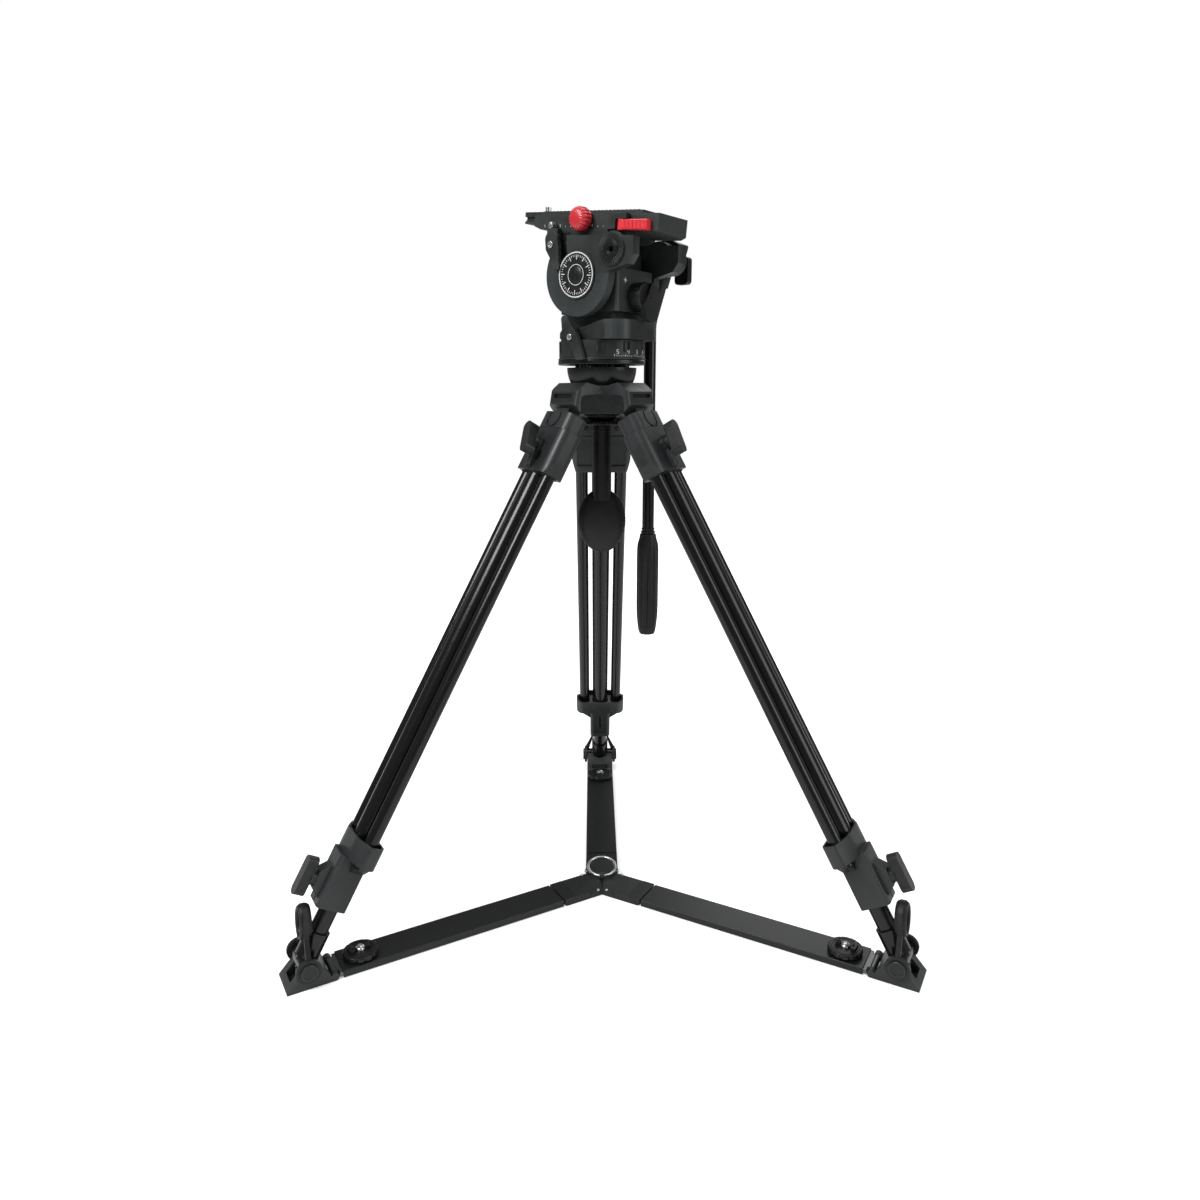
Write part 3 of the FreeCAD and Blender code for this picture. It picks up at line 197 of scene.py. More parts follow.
def painted(name, dark, light, roughness, bump, grain=900.0, coat=0.0, specular=0.5):
    """Mottled between two tones, with a fine grain, uneven gloss and a painted highlight on sharp
    edges.
    """
    material, nodes, links, bsdf = shader(name, dark, roughness, coat=coat, specular=specular)
    broad = noise(nodes, links, BROAD_SCALE, detail=4.0)
    base = ramp(nodes, links, broad, (MOTTLE[0], dark), (MOTTLE[1], light))
    # the colour gets a painted highlight on its sharp convex edges
    links.new(painted_edge_highlight(nodes, links, base, light), bsdf.inputs["Base Color"])
    smoother, rougher = PAINT_GLOSS
    gloss = mapped(nodes, links, noise(nodes, links, GLOSS_SCALE, detail=3.0),
                   (roughness - smoother, roughness + rougher), MIDDLE_OF_NOISE)
    links.new(gloss, bsdf.inputs["Roughness"])
    relief(nodes, links, bsdf, noise(nodes, links, grain), bump, PAINT_RELIEF, PAINT_EDGE)
    return material


def metal(name, colour, roughness, grain, metallic=1.0, edge=METAL_EDGE):
    """One fine grain sets the tone, the gloss and the relief."""
    material, nodes, links, bsdf = shader(name, colour, roughness, metallic=metallic)
    fine = noise(nodes, links, grain)
    low, high = MIDDLE_OF_NOISE
    base = ramp(nodes, links, fine, (low, tuple(METAL_TROUGH * c for c in colour)), (high, colour))
    links.new(base, bsdf.inputs["Base Color"])
    smoother, rougher = METAL_GLOSS
    gloss = mapped(nodes, links, fine, (roughness - smoother, roughness + rougher),
                   MIDDLE_OF_NOISE)
    links.new(gloss, bsdf.inputs["Roughness"])
    relief(nodes, links, bsdf, fine, METAL_BUMP, METAL_RELIEF, edge)
    return material


def marking():
    """The white of the scales and figures."""
    material, nodes, links, bsdf = shader("mark_white", (0.58, 0.59, 0.58), 0.55)
    low, high = MIDDLE_OF_NOISE
    tone = ramp(nodes, links, noise(nodes, links, MARK_SCALE),
                (low, (0.50, 0.51, 0.50)), (high, (0.62, 0.63, 0.62)))
    links.new(tone, bsdf.inputs["Base Color"])
    return material


MATERIALS = {
    "casting": painted("casting_paint", (0.0090, 0.0105, 0.0108), (0.0150, 0.0172, 0.0175),
                       roughness=0.38, bump=0.22, specular=0.35),
    "head_grey": painted("head_paint", (0.0100, 0.0120, 0.0120), (0.0165, 0.0192, 0.0192),
                         roughness=0.40, bump=0.30, specular=0.35),
    "dark_metal": metal("anodised", (0.010, 0.011, 0.012),
                        roughness=0.26, grain=400.0, metallic=0.45),
    "tube": metal("tube_anodised", (0.006, 0.006, 0.007),
                  roughness=0.18, grain=700.0, metallic=0.30, edge=0.0),
    "arm": metal("arm_anodised", (0.011, 0.012, 0.013),
                 roughness=0.32, grain=700.0, metallic=0.30),
    "bright": metal("bright_bar", (0.16, 0.16, 0.16), roughness=0.30, grain=300.0),
    "steel": metal("steel", (0.62, 0.62, 0.60), roughness=0.24, grain=500.0),
    "handle": painted("moulded_black", (0.0050, 0.0055, 0.0060), (0.0085, 0.0090, 0.0095),
                      roughness=0.36, bump=0.35, grain=1400.0, specular=0.30),
    "rubber": painted("rubber_black", (0.0045, 0.0045, 0.0050), (0.0080, 0.0080, 0.0085),
                      roughness=0.50, bump=0.40, grain=1800.0, specular=0.30),
    "cover": painted("cover_black", (0.0050, 0.0053, 0.0058), (0.0080, 0.0084, 0.0090),
                     roughness=0.28, bump=0.08, grain=1600.0, specular=0.35),
    "red": painted("red_moulded", (0.42, 0.012, 0.020), (0.50, 0.018, 0.028),
                   roughness=0.30, bump=0.10, coat=0.3),
}
MARK = marking()

# ---- finish of the carried-over solids
SLOT_OF = {entry["node"]: entry["material_slot"] for entry in frame["record"]["subparts"]}
for name, obj in frame["nodes"].items():
    obj.data.materials.clear()
    obj.data.materials.append(MATERIALS[SLOT_OF[name]])

# ---- mesh helpers, in millimetres and degrees in a local frame
SHARP_ANGLE = 32.0
BEVEL_ANGLE = 35.0
BEVEL_SEGMENTS = 2
SCREW_STEPS = 24
SIDES = (("a", -1), ("b", 1))


def sharpen(mesh, angle):
    """Smooth faces, with a sharp edge where two of them meet at angle degrees or more."""
    builder = bmesh.new()
    builder.from_mesh(mesh)
    limit = math.radians(angle)
    for face in builder.faces:
        face.smooth = True
    for edge in builder.edges:
        edge.smooth = len(edge.link_faces) == 2 and edge.calc_face_angle(0.0) < limit
    builder.to_mesh(mesh)
    builder.free()


def add_object(name, data):
    obj = bpy.data.objects.new(name, data)
    bpy.context.scene.collection.objects.link(obj)
    return obj


def piece(name, builder, place, body, slot, bevel=0.0, material=None, angle=SHARP_ANGLE):
    """Makes the builder's mesh a piece that rides on body; bevel is in millimetres."""
    mesh = bpy.data.meshes.new(name)
    bmesh.ops.recalc_face_normals(builder, faces=builder.faces)
    builder.to_mesh(mesh)
    builder.free()
    mesh.transform(place)
    sharpen(mesh, angle)
    obj = add_object(name, mesh)
    mesh.materials.append(material or MATERIALS[slot])
    if bevel:
        rounding = obj.modifiers.new("Rounded", "BEVEL")
        rounding.width = bevel / 1000.0
        rounding.segments = BEVEL_SEGMENTS
        rounding.limit_method = "ANGLE"
        rounding.angle_limit = math.radians(BEVEL_ANGLE)
        rounding.harden_normals = True
    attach(obj, body)
    return obj


def turns(count):
    return [2 * math.pi * i / count for i in range(count)]


def laid(p, axis, centre):
    """A point made round Z, laid along axis and moved to centre."""
    if axis == "X":
        p = (p[2], p[0], p[1])
    elif axis == "Y":
        p = (p[1], p[2], p[0])
    return tuple(p[k] + centre[k] for k in range(3))


def flat(p, level, axis, centre=(0, 0)):
    """A point of the plane at level along axis: p is XY for Z, XZ for Y, YZ for X."""
    u, v = p[0] + centre[0], p[1] + centre[1]
    if axis == "Z":
        return (u, v, level)
    if axis == "Y":
        return (u, level, v)
    return (level, u, v)


def rectangle(u, v):
    """Four corners in turn, from two (low, high) spans."""
    return [(u[0], v[0]), (u[1], v[0]), (u[1], v[1]), (u[0], v[1])]


def mirrored(low, high):
    """A span on the negative side, then the same one on the positive side."""
    return (-high, -low), (low, high)


def vertex_rows(builder, rings):
    return [[builder.verts.new(p) for p in ring] for ring in rings]


def skin(builder, low, high):
    for i in range(len(low)):
        j = (i + 1) % len(low)
        builder.faces.new((low[i], low[j], high[j], high[i]))


def stacked(builder, rings):
    """Rings of points, skinned in turn and closed by a cap at each end."""
    rows = vertex_rows(builder, rings)
    for low, high in zip(rows, rows[1:]):
        skin(builder, low, high)
    builder.faces.new(list(reversed(rows[0])))
    builder.faces.new(rows[-1])
    return builder


def looped(builder, rings):
    """Rings of points, skinned in turn and from the last one back to the first."""
    rows = vertex_rows(builder, rings)
    for low, high in zip(rows, rows[1:] + rows[:1]):
        skin(builder, low, high)
    return builder


def block(builder, x, y, z):
    return stacked(builder, [[(u, v, level) for u, v in rectangle(x, y)] for level in z])


def prism(builder, outline, low, high, axis="Z"):
    return stacked(builder, [[flat(p, level, axis) for p in outline] for level in (low, high)])


def lathe(builder, profile, centre, axis, segments):
    """profile: (radius, along) pairs."""
    return stacked(builder, [[laid((radius * math.cos(a), radius * math.sin(a), along),
                                   axis, centre) for a in turns(segments)]
                             for radius, along in profile])


def fluted(builder, profile, centre, count, axis, segments, power):
    """profile: (radius, depth of the flutes, along). power shapes the flutes' section."""
    rings = []
    for radius, depth, along in profile:
        ring = []
        for a in turns(segments):
            r = radius - depth * (1 - abs(math.cos(count * a / 2)) ** power)
            ring.append(laid((r * math.cos(a), r * math.sin(a), along), axis, centre))
        rings.append(ring)
    return stacked(builder, rings)


def annulus(builder, centre, radii, levels, axis="Y", steps=64):
    """A flat ring between two radii, and between two levels along axis."""
    (inner, outer), (low, high) = radii, levels
    angles = [math.radians(360.0 * i / steps) for i in range(steps)]
    return looped(builder, [[flat((radius * math.cos(a), radius * math.sin(a)),
                                  level, axis, centre) for a in angles]
                            for radius, level in ((inner, low), (outer, low),
                                                  (outer, high), (inner, high))])


def teeth(builder, centre, radii, face, height, count):
    """Radial ridges on a face across Y, each half as wide as its share of the turn."""
    half = 0.5 * math.pi / count
    for middle in turns(count):
        a0, a1, a2, b0, b1, b2 = [
            builder.verts.new(flat((radius * math.cos(middle + side),
                                    radius * math.sin(middle + side)), level, "Y", centre))
            for radius in radii
            for side, level in ((-half, face), (0, face + height), (half, face))]
        for loop in ((a0, b0, b1, a1), (a1, b1, b2, a2), (a0, a2, b2, b0),
                     (a0, a1, a2), (b0, b2, b1)):
            builder.faces.new(loop)
    return builder


def ring_box(builder, radii, middle, across, heights, measured_at=None):
    """A low box on an upright cylinder. across is an arc's span from the angle middle,
    measured at each of the radii, or at the one radius that measured_at gives."""
    rings = []
    for r in radii:
        around = [(middle + u / (measured_at or r), z) for u, z in rectangle(across, heights)]
        rings.append([(r * math.cos(a), r * math.sin(a), z) for a, z in around])
    return stacked(builder, rings)


def hex_screw(name, centre, axis, radius, height, place, body, slot="steel"):
    """A round-headed screw with a hex socket; a negative height turns it round."""
    sign = 1 if height > 0 else -1
    tall = abs(height)
    socket = 0.5 * radius
    sixth = math.pi / 3
    rings = []
    for r, h in ((radius, 0), (radius, 0.75 * tall), (0.88 * radius, tall)):
        rings.append([(r * math.cos(a), r * math.sin(a), sign * h) for a in turns(SCREW_STEPS)])
    for r, h in ((1.15 * socket, tall), (socket, 0.45 * tall)):
        reaches = [(r * math.cos(sixth / 2) / math.cos((a % sixth) - sixth / 2), a)
                   for a in turns(SCREW_STEPS)]
        rings.append([(reach * math.cos(a), reach * math.sin(a), sign * h)
                      for reach, a in reaches])
    builder = stacked(bmesh.new(), [[laid(p, axis, centre) for p in ring] for ring in rings])
    return piece(name, builder, place, body, slot)


# ---- the head: tilt frame, levers and camera plate
def near_rosette():
    builder = teeth(bmesh.new(), ROSETTE, (9.2, 15.0), ROSETTE_FACE, height=1.1, count=40)
    piece("near_rosette_teeth", builder, TILT, "tilt", "head_grey", angle=10)
    builder = annulus(bmesh.new(), ROSETTE, (3.4, 8.6), (ROSETTE_FACE - 0.3, ROSETTE_FACE + 1.0))
    annulus(builder, ROSETTE, (4.6, 7.2), (ROSETTE_FACE + 0.9, ROSETTE_FACE + 1.5))
    piece("near_rosette_boss", builder, TILT, "tilt", "dark_metal", bevel=0.25)


def side_disc():
    """Two rings and a scale of ticks on the round side cover, its boss and its seat."""
    sunk, ring_top, tick_top = COVER_FACE - 0.1, COVER_FACE + 0.18, COVER_FACE + 0.16
    tick_end = 19.4
    builder = annulus(bmesh.new(), (0, 0), (20.9, 22.1), (sunk, ring_top), steps=96)
    annulus(builder, (0, 0), (9.6, 10.2), (sunk, ring_top))
    for k in range(48):
        a = math.radians(7.5 * k)
        tick_start, half = (14.6, 0.42) if k % 4 == 0 else (17.2, 0.24)
        along = Vector((math.cos(a), math.sin(a)))
        across = Vector((-along.y, along.x))
        tick = [along * tick_start - across * half, along * tick_end - across * half,
                along * tick_end + across * half, along * tick_start + across * half]
        prism(builder, tick, sunk, tick_top, "Y")
    piece("side_disc_scale", builder, TILT, "tilt", "cover", material=MARK)
    boss = [(0.05, COVER_FACE + 0.9), (3.0, COVER_FACE + 0.85), (7.4, COVER_FACE + 0.45),
            (8.6, sunk)]
    builder = lathe(bmesh.new(), boss, (0, 0, 0), "Y", segments=64)
    piece("side_disc_boss", builder, TILT, "tilt", "cover")
    seat = (COVER_FACE - 0.9, COVER_FACE - 0.05)
    builder = annulus(bmesh.new(), (0, 0), (22.3, 23.6), seat, steps=96)
    piece("side_disc_seat", builder, TILT, "tilt", "head_grey", bevel=0.15)


def lever_screws():
    for name, (x, z), radius, place, body in (
            ("tilt_lever_screw", TILT_LEVER, 3.5, TILT, "tilt_lever"),
            ("pan_lever_screw", PAN_LEVER, 3.3, HEAD, "pan_lever")):
        hex_screw(name, (x, 52.4, z), "Y", radius, 1.3, place, body)
    stop = [(0.4, 47.4), (2.6, 47.2), (3.4, 46.4), (3.4, 40.0)]
    builder = lathe(bmesh.new(), stop, (39.5, 0, 47.2), "Y", segments=32)
    piece("tilt_lever_stop", builder, TILT, "tilt", "steel")


def red_knob():
    x, z = CLAMP_KNOB
    profile = [(9.4, 0.0, 40.0), (11.0, 0.6, 40.3), (11.6, 1.3, 41.2), (11.6, 1.5, 46.5),
               (11.1, 1.5, 49.6), (9.6, 1.1, 51.6), (7.2, 0.5, 52.8), (4.0, 0.0, 53.4),
               (0.4, 0.0, 53.5)]
    builder = fluted(bmesh.new(), profile, (x, 0, z), count=18, axis="Y",
                     segments=144, power=0.55)
    knob = piece("red_clamp_knob", builder, TILT, "clamp_knob", "red", angle=40)
    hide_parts("clamp_knob")


def red_lever_ribs():
    foot, top = 43.9, 50.6
    builder = bmesh.new()
    for k in range(5):
        x = -72.6 + 4.5 * k
        rib = [(x - 1.9, foot), (x - 0.3, foot), (x + 1.6, top), (x, top)]
        prism(builder, rib, RELEASE_OUT - 0.4, RELEASE_OUT + 0.8, "Y")
    piece("release_lever_ribs", builder, TILT, "release_lever", "red", bevel=0.3)
    builder = bmesh.new()
    outer = [(-78.9, 43.6), (-46.5, 44.2), (-46.5, 51.2), (-78.9, 51.2)]
    inner = [(-78.2, 44.2), (-47.2, 44.8), (-47.2, top), (-78.2, top)]
    for a in range(4):
        b = (a + 1) % 4
        strip = [outer[a], outer[b], inner[b], inner[a]]
        prism(builder, strip, RELEASE_OUT - 0.2, RELEASE_OUT + 0.25, "Y")
    piece("release_lever_rim", builder, TILT, "release_lever", "red", bevel=0.1)


def plate_details():
    builder = bmesh.new()
    for y in mirrored(25.9, 26.35):
        for k in range(3):
            z = 59.6 + 1.25 * k
            block(builder, (71, 92.5), y, (z, z + 0.55))
    piece("plate_end_grips", builder, TILT, "plate", "head_grey", bevel=0.08)
    sunk = PLATE_TOP - 0.2
    builder = bmesh.new()
    for low, high in mirrored(6.5, 23.5):
        block(builder, (-56, 70), (low, high), (sunk, 64.2))
        for k in range(25):
            x = -54 + 5.0 * k
            block(builder, (x, x + 2.2), (low + 1, high - 1), (64.0, 64.6))
    piece("plate_pads", builder, TILT, "plate", "rubber", bevel=0.15)
    rivet = [(4.8, sunk), (4.8, 64.3), (4.2, 64.6), (0.3, 64.6)]
    builder = lathe(bmesh.new(), rivet, (-50, 0, 0), "Z", segments=32)
    piece("plate_rear_rivet", builder, TILT, "plate", "steel")
    for index, x in enumerate((-6.0, 26.0, 58.0)):
        builder = annulus(bmesh.new(), (x, 0), (3.2, 3.7), (sunk, PLATE_TOP + 0.25), "Z", steps=32)
        piece("plate_scale_ring_%d" % index, builder, TILT, "plate", "head_grey", material=MARK)


def holder_details():
    builder = bmesh.new()
    for k in range(13):
        x = -30 + 7.0 * k
        block(builder, (x, x + 0.5), (37.9, 38.12), (46.6, 49.2 if k % 3 == 0 else 47.6))
    piece("holder_scale", builder, TILT, "tilt", "head_grey", material=MARK)
    # thin black sheets on the holder's rear are painted shade standing for its dark slots
    builder = bmesh.new()
    for k in range(3):
        block(builder, (-79.0 + 6.0 * k, -75.4 + 6.0 * k), (26.0, 33.0), (58.3, 58.7))
    piece("holder_rear_slot_shade", builder, TILT, "tilt", "rubber", bevel=0.2)
    for index, (x, y) in enumerate(((-20, -31), (45, -31), (45, 33), (-25, 33))):
        hex_screw("holder_screw_%d" % index, (x, y, 58.2), "Z", 2.4, 0.9, TILT, "tilt",
                  "dark_metal")


# ---- the head: housing and drag ring
def balance_details():
    """Plus and minus marks beside the selector, and the selector's ring and screw."""
    face = (-45.2, -44.9)
    builder = bmesh.new()
    block(builder, face, (16.8, 22.0), (704.4, 705.2))
    block(builder, face, (19.0, 19.8), (702.2, 707.4))
    block(builder, face, (-12.4, -7.6), (704.8, 705.6))
    piece("balance_marks", builder, HEAD, "pan", "head_grey", material=MARK)
    y, z = SELECTOR
    ring = [(13.6, 0, -57.2), (14.9, 1.3, -56.6), (14.9, 1.3, -51.6), (14.2, 0.4, -50.8)]
    builder = fluted(bmesh.new(), ring, (0, y, z), count=22, axis="X",
                     segments=132, power=0.6)
    piece("balance_ring_grip", builder, HEAD, "selector", "handle", angle=40)
    hex_screw("balance_screw", (-63.0, y, z), "X", 3.0, -0.8, HEAD, "selector", "dark_metal")


def tilt_lever_backing():
    outline = [(17.0, 29.0), (30.0, 29.0), (31.5, 33.0), (31.5, 44.3), (17.0, 44.3)]
    builder = prism(bmesh.new(), outline, 36.7, 38.9, "Y")
    piece("tilt_lever_backing", builder, TILT, "tilt", "cover", bevel=0.4)


# the strokes of each figure, and each stroke's spans across and up, as shares of its height
FIGURES = {"0": "abcdef", "1": "bc", "2": "abged", "3": "abgcd", "4": "fgbc", "5": "afgcd"}
STROKES = {"a": ((0, 0.5), (1, 1)), "b": ((0.5, 0.5), (0.5, 1)), "c": ((0.5, 0.5), (0, 0.5)),
           "d": ((0, 0.5), (0, 0)), "e": ((0, 0), (0, 0.5)), "f": ((0, 0), (0.5, 1)),
           "g": ((0, 0.5), (0.5, 0.5))}
# the side of the dial that faces the camera, as an angle in the head's frame
DIAL_FRONT = -88 - HEAD_AZIMUTH


def drag_ring_details():
    """Plain figures and a scale round the drag ring, and a bead on the flange below it."""
    foot, height = 632.8, 3.9
    half = 0.06 * height
    start, step = 18.5, 16.0
    builder = bmesh.new()
    for index, figure in enumerate("543210"):
        middle = math.radians(DIAL_FRONT + start + step * index)
        for stroke in FIGURES[figure]:
            across, up = STROKES[stroke]
            left, right = across[0] * height - half, across[1] * height + half
            low, high = up[0] * height - half, up[1] * height + half
            ring_box(builder, (RING_OUTER_R - 0.1, RING_OUTER_R + 0.22), middle,
                     (left - 0.25 * height, right - 0.25 * height), (foot + low, foot + high),
                     RING_OUTER_R)
    piece("drag_numbers", builder, HEAD, "drag_ring", "dark_metal", material=MARK)
    foot = 630.2
    start, step = 14.0, 3.2
    builder = bmesh.new()
    for k in range(31):
        middle = math.radians(DIAL_FRONT + start + step * k)
        top = foot + (1.8 if k % 5 == 0 else 1.0)
        ring_box(builder, (45.7, 46.0), middle, (-0.25, 0.25), (foot, top))
    piece("drag_scale", builder, HEAD, "drag_ring", "dark_metal", material=MARK)
    bead = [(45.0, 627.4), (46.7, 627.6), (46.9, 628.2), (46.7, 628.8), (45.4, 629.0)]
    builder = lathe(bmesh.new(), bead, (0, 0, 0), "Z", segments=96)
    piece("flange_bead", builder, WORLD, "head_ball", "casting")


# ---- crown and legs
def crown_details():
    # a thin dark ribbed sheet in each crown window is painted shade, so the window reads crisp
    # dark
    for leg in LEGS:
        builder = block(bmesh.new(), (45.1, 45.4), (-19.6, 19.6), (588.4, 592.2))
        for k in range(9):
            block(builder, (45.3, 45.8), (-18.4 + 4.2 * k, -16.6 + 4.2 * k), (588.9, 591.7))
        piece(leg + "_window_shade_sheet", builder, floor_place(leg), "crown", "rubber", bevel=0.1)
    mouth = math.sqrt(BALL_R ** 2 - (BALL_Z - RIM_Z) ** 2) + 0.9
    bead = [(mouth, 599.6), (mouth + 0.3, 600.6), (mouth + 2.4, 600.9), (mouth + 3.2, 599.8)]
    builder = lathe(bmesh.new(), bead, (0, 0, 0), "Z", segments=96)
    piece("bowl_bead", builder, WORLD, "crown", "casting")


def leg_details():
    """Seals under the collar, in the cups and under the neck, rim facets and screws."""
    collar_foot, cup_mouth, neck_foot = (-158.1, -157.0), (-582.4, -581.8), (-657.0, -655.9)
    rim = (-600.0, -576.0)
    facet = [(13.45, 9.6), (13.5, 17.3), (3.6, 35.45), (1.0, 35.45), (1.0, 32.8), (11.5, 13.6)]
    for leg in LEGS:
        place = leg_place(leg)
        mid = leg + "_mid"
        builder = bmesh.new()
        for t in (-TWIN_T, TWIN_T):
            annulus(builder, (0, t), (7.3, 8.6), collar_foot, "Z", steps=40)
        annulus(builder, (0, 0), (11.3, 12.8), collar_foot, "Z", steps=48)
        piece(leg + "_collar_seals", builder, place, mid, "rubber", bevel=0.2)
        builder = bmesh.new()
        for t in (-TWIN_T, TWIN_T):
            annulus(builder, (0, t), (7.3, 8.4), cup_mouth, "Z", steps=40)
        piece(leg + "_cup_seals", builder, place, mid, "rubber", bevel=0.15)
        builder = bmesh.new()
        for _, side in SIDES:
            prism(builder, [(x, y * side) for x, y in facet], *rim)
        piece(leg + "_rim_facets", builder, place, mid, "casting", bevel=0.8)
        builder = annulus(bmesh.new(), (0, 0), (10.1, 11.9), neck_foot, "Z", steps=48)
        piece(leg + "_lower_wiper", builder, place, mid, "rubber", bevel=0.2)
        for letter, side in SIDES:
            hex_screw("%s_casting_screw_%s" % (leg, letter), (-13.4, 17.5 * side, -97.0),
                      "X", 2.6, -0.9, place, leg + "_upper", "dark_metal")


def crown_faces():
    """A plate with an arched top on each face between two legs."""
    foot, waist, shoulder = 572.0, 577.0, 590.4
    half = 20.5
    outline = [(-22.5, foot), (22.5, foot), (25.5, waist), (half, shoulder)]
    for a in (30, 60, 90, 120, 150):
        outline.append((half * math.cos(math.radians(a)),
                        shoulder + 1.6 * math.sin(math.radians(a))))
    outline += [(-half, shoulder), (-25.5, waist)]
    for leg in LEGS:
        builder = prism(bmesh.new(), outline, 39.4, 48.3, "X")
        place = floor_place(leg, FACE_AZIMUTH_STEP)
        piece(leg + "_face_plate", builder, place, "crown", "cover", bevel=0.6)


# ---- tie-down handle and pan bar
def tie_down_details():
    grip = [(19.4, 0.0, 559.2), (20.6, 1.4, 560.0), (20.6, 1.4, 562.6), (19.9, 0.6, 563.4)]
    builder = fluted(bmesh.new(), grip, (0, 0, 0), count=30, axis="Z",
                     segments=180, power=0.6)
    piece("tie_down_grip_ring", builder, WORLD, "tie_down", "handle", angle=40)
    half_width, half_height, middle_z = 26.0, 35.35, 453.65
    wire, inset = 1.15, 0.5
    rings = []
    for a in turns(96):
        point = Vector((half_width * math.cos(a), 0, middle_z + half_height * math.sin(a)))
        outward = Vector((math.cos(a) / half_width, 0, math.sin(a) / half_height)).normalized()
        rings.append([point + outward * (wire * math.cos(b) - inset)
                      + Vector((0, wire * math.sin(b), 0)) for b in turns(12)])
    builder = looped(bmesh.new(), rings)
    piece("tie_down_edge_bead", builder, WORLD, "tie_down", "handle", angle=60)
    builder = bmesh.new()
    for z in (556.0, 552.5):
        annulus(builder, (0, 0), (10.3, 11.0), (z, z + 1.4), "Z", steps=48)
    piece("tie_down_collars", builder, WORLD, "tie_down", "handle", bevel=0.2)


def pan_bar_details():
    x, y = PAN_BAR
    profile = [(0.4, 0.0, 310.0), (4.0, 0.0, 310.0), (8.8, 0.1, 310.6), (10.2, 0.5, 314.0),
               (11.4, 1.0, 322.0), (12.5, 1.5, 334.0), (12.8, 1.7, 345.0), (12.8, 1.7, 400.0),
               (12.6, 1.5, 414.0), (12.0, 0.9, 420.0), (9.9, 0.2, 427.0), (9.4, 0.0, 431.4),
               (8.2, 0.0, 432.0)]
    builder = fluted(bmesh.new(), profile, (x, y, 0), count=10, axis="Z",
                     segments=160, power=0.7)
    grip = piece("bar_grip_rubber", builder, HEAD, "bar", "rubber", angle=45)
    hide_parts("bar_grip")
    builder = bmesh.new()
    for z, outer in ((433.0, 8.3), (436.5, 7.6)):
        annulus(builder, (x, y), (6.7, outer), (z, z + 2.2), "Z", steps=48)
    piece("bar_grip_collar", builder, HEAD, "bar", "dark_metal", bevel=0.3)


# ---- feet and spreader
def pivot_caps(leg, place):
    x, z = FOOT_PIVOT
    for letter, side in SIDES:
        y = 24.9 * side
        rim, dish = y + 1.9 * side, y + 1.3 * side
        profile = [(8.9, y), (8.9, y + 1.2 * side), (8.1, rim), (6.8, rim), (6.4, dish),
                   (0.3, dish)]
        builder = lathe(bmesh.new(), profile, (x, 0, z), "Y", segments=40)
        piece("%s_pivot_cap_%s" % (leg, letter), builder, place, leg + "_lower", "casting")


def strap_rim(leg, place):
    """A thick rounded rim round the hole of the foot strap, which leans inwards."""
    lean = math.radians(STRAP_LEAN)
    middle = Vector((FOOT_PIVOT[0] - 43.6 * math.sin(lean), 0, 65.6))
    normal = Vector((math.cos(lean), 0, math.sin(lean)))
    radius, thick, deep, stretch = 11.4, 2.4, 6.2, 1.44
    rings = []
    for a in turns(64):
        tall = stretch * math.sin(a)
        radial = Vector((-tall * math.sin(lean), math.cos(a), tall * math.cos(lean)))
        rings.append([middle + radial * (radius + thick * math.cos(b))
                      + normal * (deep * math.sin(b)) for b in turns(14)])
    builder = looped(bmesh.new(), rings)
    piece(leg + "_strap_rim", builder, place, leg + "_strap", "rubber", angle=60)


def arm_knob_details(leg, place):
    knob = leg + "_arm_knob"
    stud = [(5.4, 14.5), (5.4, 16.0), (4.6, 17.4), (3.0, 18.6), (0.3, 19.1)]
    builder = lathe(bmesh.new(), stud, (ARM_KNOB_X, 0, 0), "Z", segments=32)
    piece(leg + "_arm_stud", builder, place, knob, "steel")
    foot = 14.2
    outward = [(304.6, foot), (312.0, foot), (311.2, 17.0), (308.8, 20.2), (307.8, 20.0)]
    inward = [(289.0, foot), (294.8, foot), (294.2, 18.0), (290.6, 19.6)]
    builder = prism(bmesh.new(), outward, -1.5, 1.5, "Y")
    prism(builder, inward, -3.0, 3.0, "Y")
    piece(leg + "_arm_fin", builder, place, knob, "handle", bevel=0.5)
    builder = annulus(bmesh.new(), (ARM_KNOB_X, 0), (13.5, 15.5), (14.5, 15.1), "Z", steps=64)
    piece(leg + "_arm_disc_rim", builder, place, knob, "handle", bevel=0.2)


def foot_details():
    for leg in LEGS:
        place = floor_place(leg)
        pivot_caps(leg, place)
        strap_rim(leg, place)
        arm_knob_details(leg, place)


def hub_details():
    """Shoulders that make the arms meet as a Y, and a pair of rivets between each two."""
    shoulder = [(45.5, 8.32), (62.2, 8.32), (62.2, 1.1), (59.6, 1.1)]
    half = 19.9
    rivet = [(1.9, 8.1), (1.9, 8.7), (1.3, 9.1), (0.2, 9.2)]
    for leg in LEGS:
        builder = prism(bmesh.new(), shoulder, -half, half, "Y")
        for y in mirrored(18.5, half):
            block(builder, (46.5, 62.0), y, (8.2, 8.7))
        piece(leg + "_hub_shoulder", builder, floor_place(leg), "hub", "arm", bevel=0.2)
        place = floor_place(leg, FACE_AZIMUTH_STEP)
        for letter, side in SIDES:
            builder = lathe(bmesh.new(), rivet, (26.0, 5.0 * side, 0), "Z", segments=24)
            piece("%s_hub_rivet_%s" % (leg, letter), builder, place, "hub", "steel")


for details in (near_rosette, side_disc, lever_screws, red_knob, red_lever_ribs, plate_details,
                holder_details, balance_details, tilt_lever_backing, drag_ring_details,
                crown_details, leg_details, crown_faces, tie_down_details, pan_bar_details,
                foot_details, hub_details):
    details()

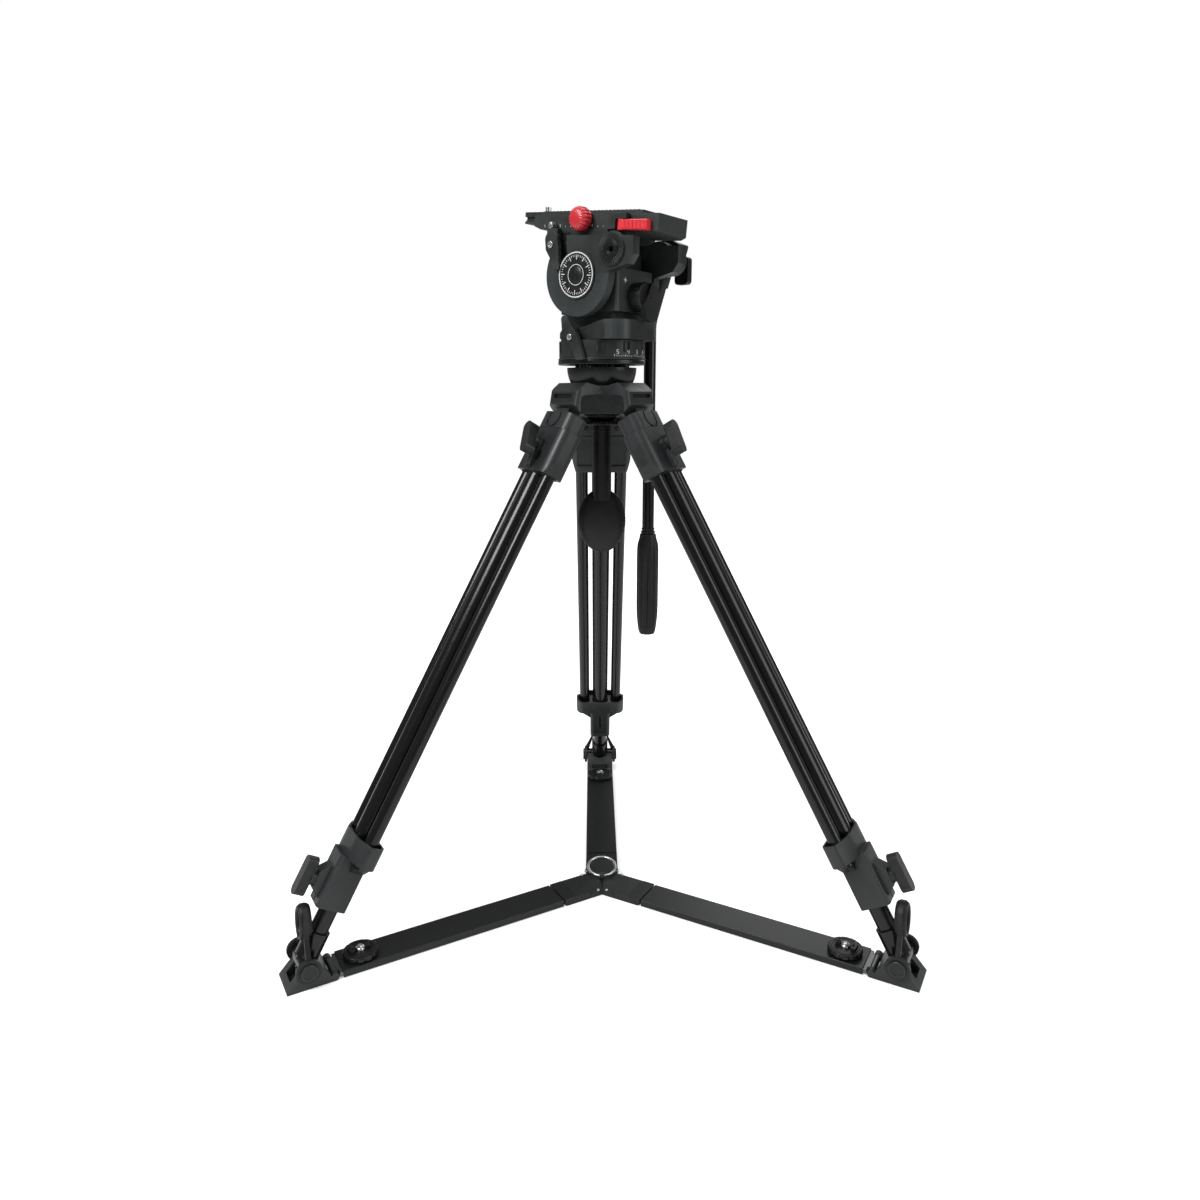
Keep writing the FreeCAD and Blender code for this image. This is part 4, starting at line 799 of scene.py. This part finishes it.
# ---- stage, lights and camera, in metres and radians apart from the floor's millimetres
FLOOR_HALF = 9000
FLOOR_Z = (-20, -0.4)
GLOW_REACH = (0.35, 1.1)
GLOW = (0.42, 1.0)
WORLD_LEVELS = (0.20, 1.0)
LIGHTS = (  # name, place, target, size and power in watts
    ("key", (-1.3, -1.2, 1.9), (0, 0, 0.45), (1.0, 1.0), 48),
    ("fill", (1.7, -0.9, 1.2), (0, 0, 0.45), (1.0, 1.6), 16),
    ("top", (0.1, 0.3, 2.4), (0, 0, 0.4), (1.6, 1.6), 24),
    ("rear", (0.9, 2.1, 1.5), (0, 0, 0.4), (1.2, 1.2), 7),
)
SENSOR = 36.0
FOCAL_PIXELS = 890.865
IMAGE_PIXELS = 1200.0
CAMERA_PLACE = (-0.006265, -0.995306, 0.593682)
YAW, PITCH, ROLL, ORBIT = 0.004129, -0.228785, -0.000888, -0.003674


def stage_floor():
    """A pale floor that keeps the shadow and looks white to the camera further out."""
    side = (-FLOOR_HALF, FLOOR_HALF)
    builder = block(bmesh.new(), side, side, FLOOR_Z)
    mesh = bpy.data.meshes.new("floor")
    builder.to_mesh(mesh)
    builder.free()
    mesh.transform(MM)
    floor = add_object("floor", mesh)
    material, nodes, links, bsdf = shader("floor_white", (0.92, 0.92, 0.92), 0.9, specular=0.0)
    path = nodes.new("ShaderNodeLightPath")
    geometry = nodes.new("ShaderNodeNewGeometry")
    reach = nodes.new("ShaderNodeVectorMath")
    reach.operation = "LENGTH"
    links.new(geometry.outputs["Position"], reach.inputs[0])
    rise = mapped(nodes, links, reach.outputs["Value"], GLOW, GLOW_REACH)
    glow = combined(nodes, links, "MULTIPLY", rise, path.outputs["Is Camera Ray"])
    bsdf.inputs["Emission Color"].default_value = (1, 1, 1, 1)
    links.new(glow, bsdf.inputs["Emission Strength"])
    mesh.materials.append(material)


def world_light():
    """White to the camera, straight or through glass, and a weaker fill on the object."""
    world = bpy.data.worlds.new("studio")
    world.use_nodes = True
    nodes, links = world.node_tree.nodes, world.node_tree.links
    background = nodes["Background"]
    path = nodes.new("ShaderNodeLightPath")
    seen = combined(nodes, links, "MAXIMUM", path.outputs["Is Camera Ray"],
                    path.outputs["Is Transmission Ray"])
    background.inputs["Color"].default_value = (1, 1, 1, 1)
    links.new(mapped(nodes, links, seen, WORLD_LEVELS), background.inputs["Strength"])
    bpy.context.scene.world = world


def area_light(name, place, target, size, power):
    data = bpy.data.lights.new(name, "AREA")
    data.shape = "RECTANGLE"
    data.size, data.size_y = size
    data.energy = power
    obj = add_object(name, data)
    obj.location = place
    obj.rotation_euler = (Vector(target) - Vector(place)).to_track_quat("-Z", "Y").to_euler()


def camera():
    """The photograph's viewing angle."""
    data = bpy.data.cameras.new("view")
    data.sensor_width = SENSOR
    data.lens = SENSOR * FOCAL_PIXELS / IMAGE_PIXELS
    obj = add_object("view", data)
    forward = Vector((math.sin(YAW) * math.cos(PITCH), math.cos(YAW) * math.cos(PITCH),
                      math.sin(PITCH)))
    right = Vector((math.cos(YAW), -math.sin(YAW), 0))
    up = right.cross(forward)
    right, up = (math.cos(ROLL) * right + math.sin(ROLL) * up,
                 math.cos(ROLL) * up - math.sin(ROLL) * right)
    basis = Matrix((right, up, -forward)).transposed().to_4x4()
    basis.translation = Vector(CAMERA_PLACE)
    obj.matrix_world = Matrix.Rotation(ORBIT, 4, "Z") @ basis
    bpy.context.scene.camera = obj


stage_floor()
world_light()
for light in LIGHTS:
    area_light(*light)
camera()
bpy.context.scene.view_settings.view_transform = "Standard"
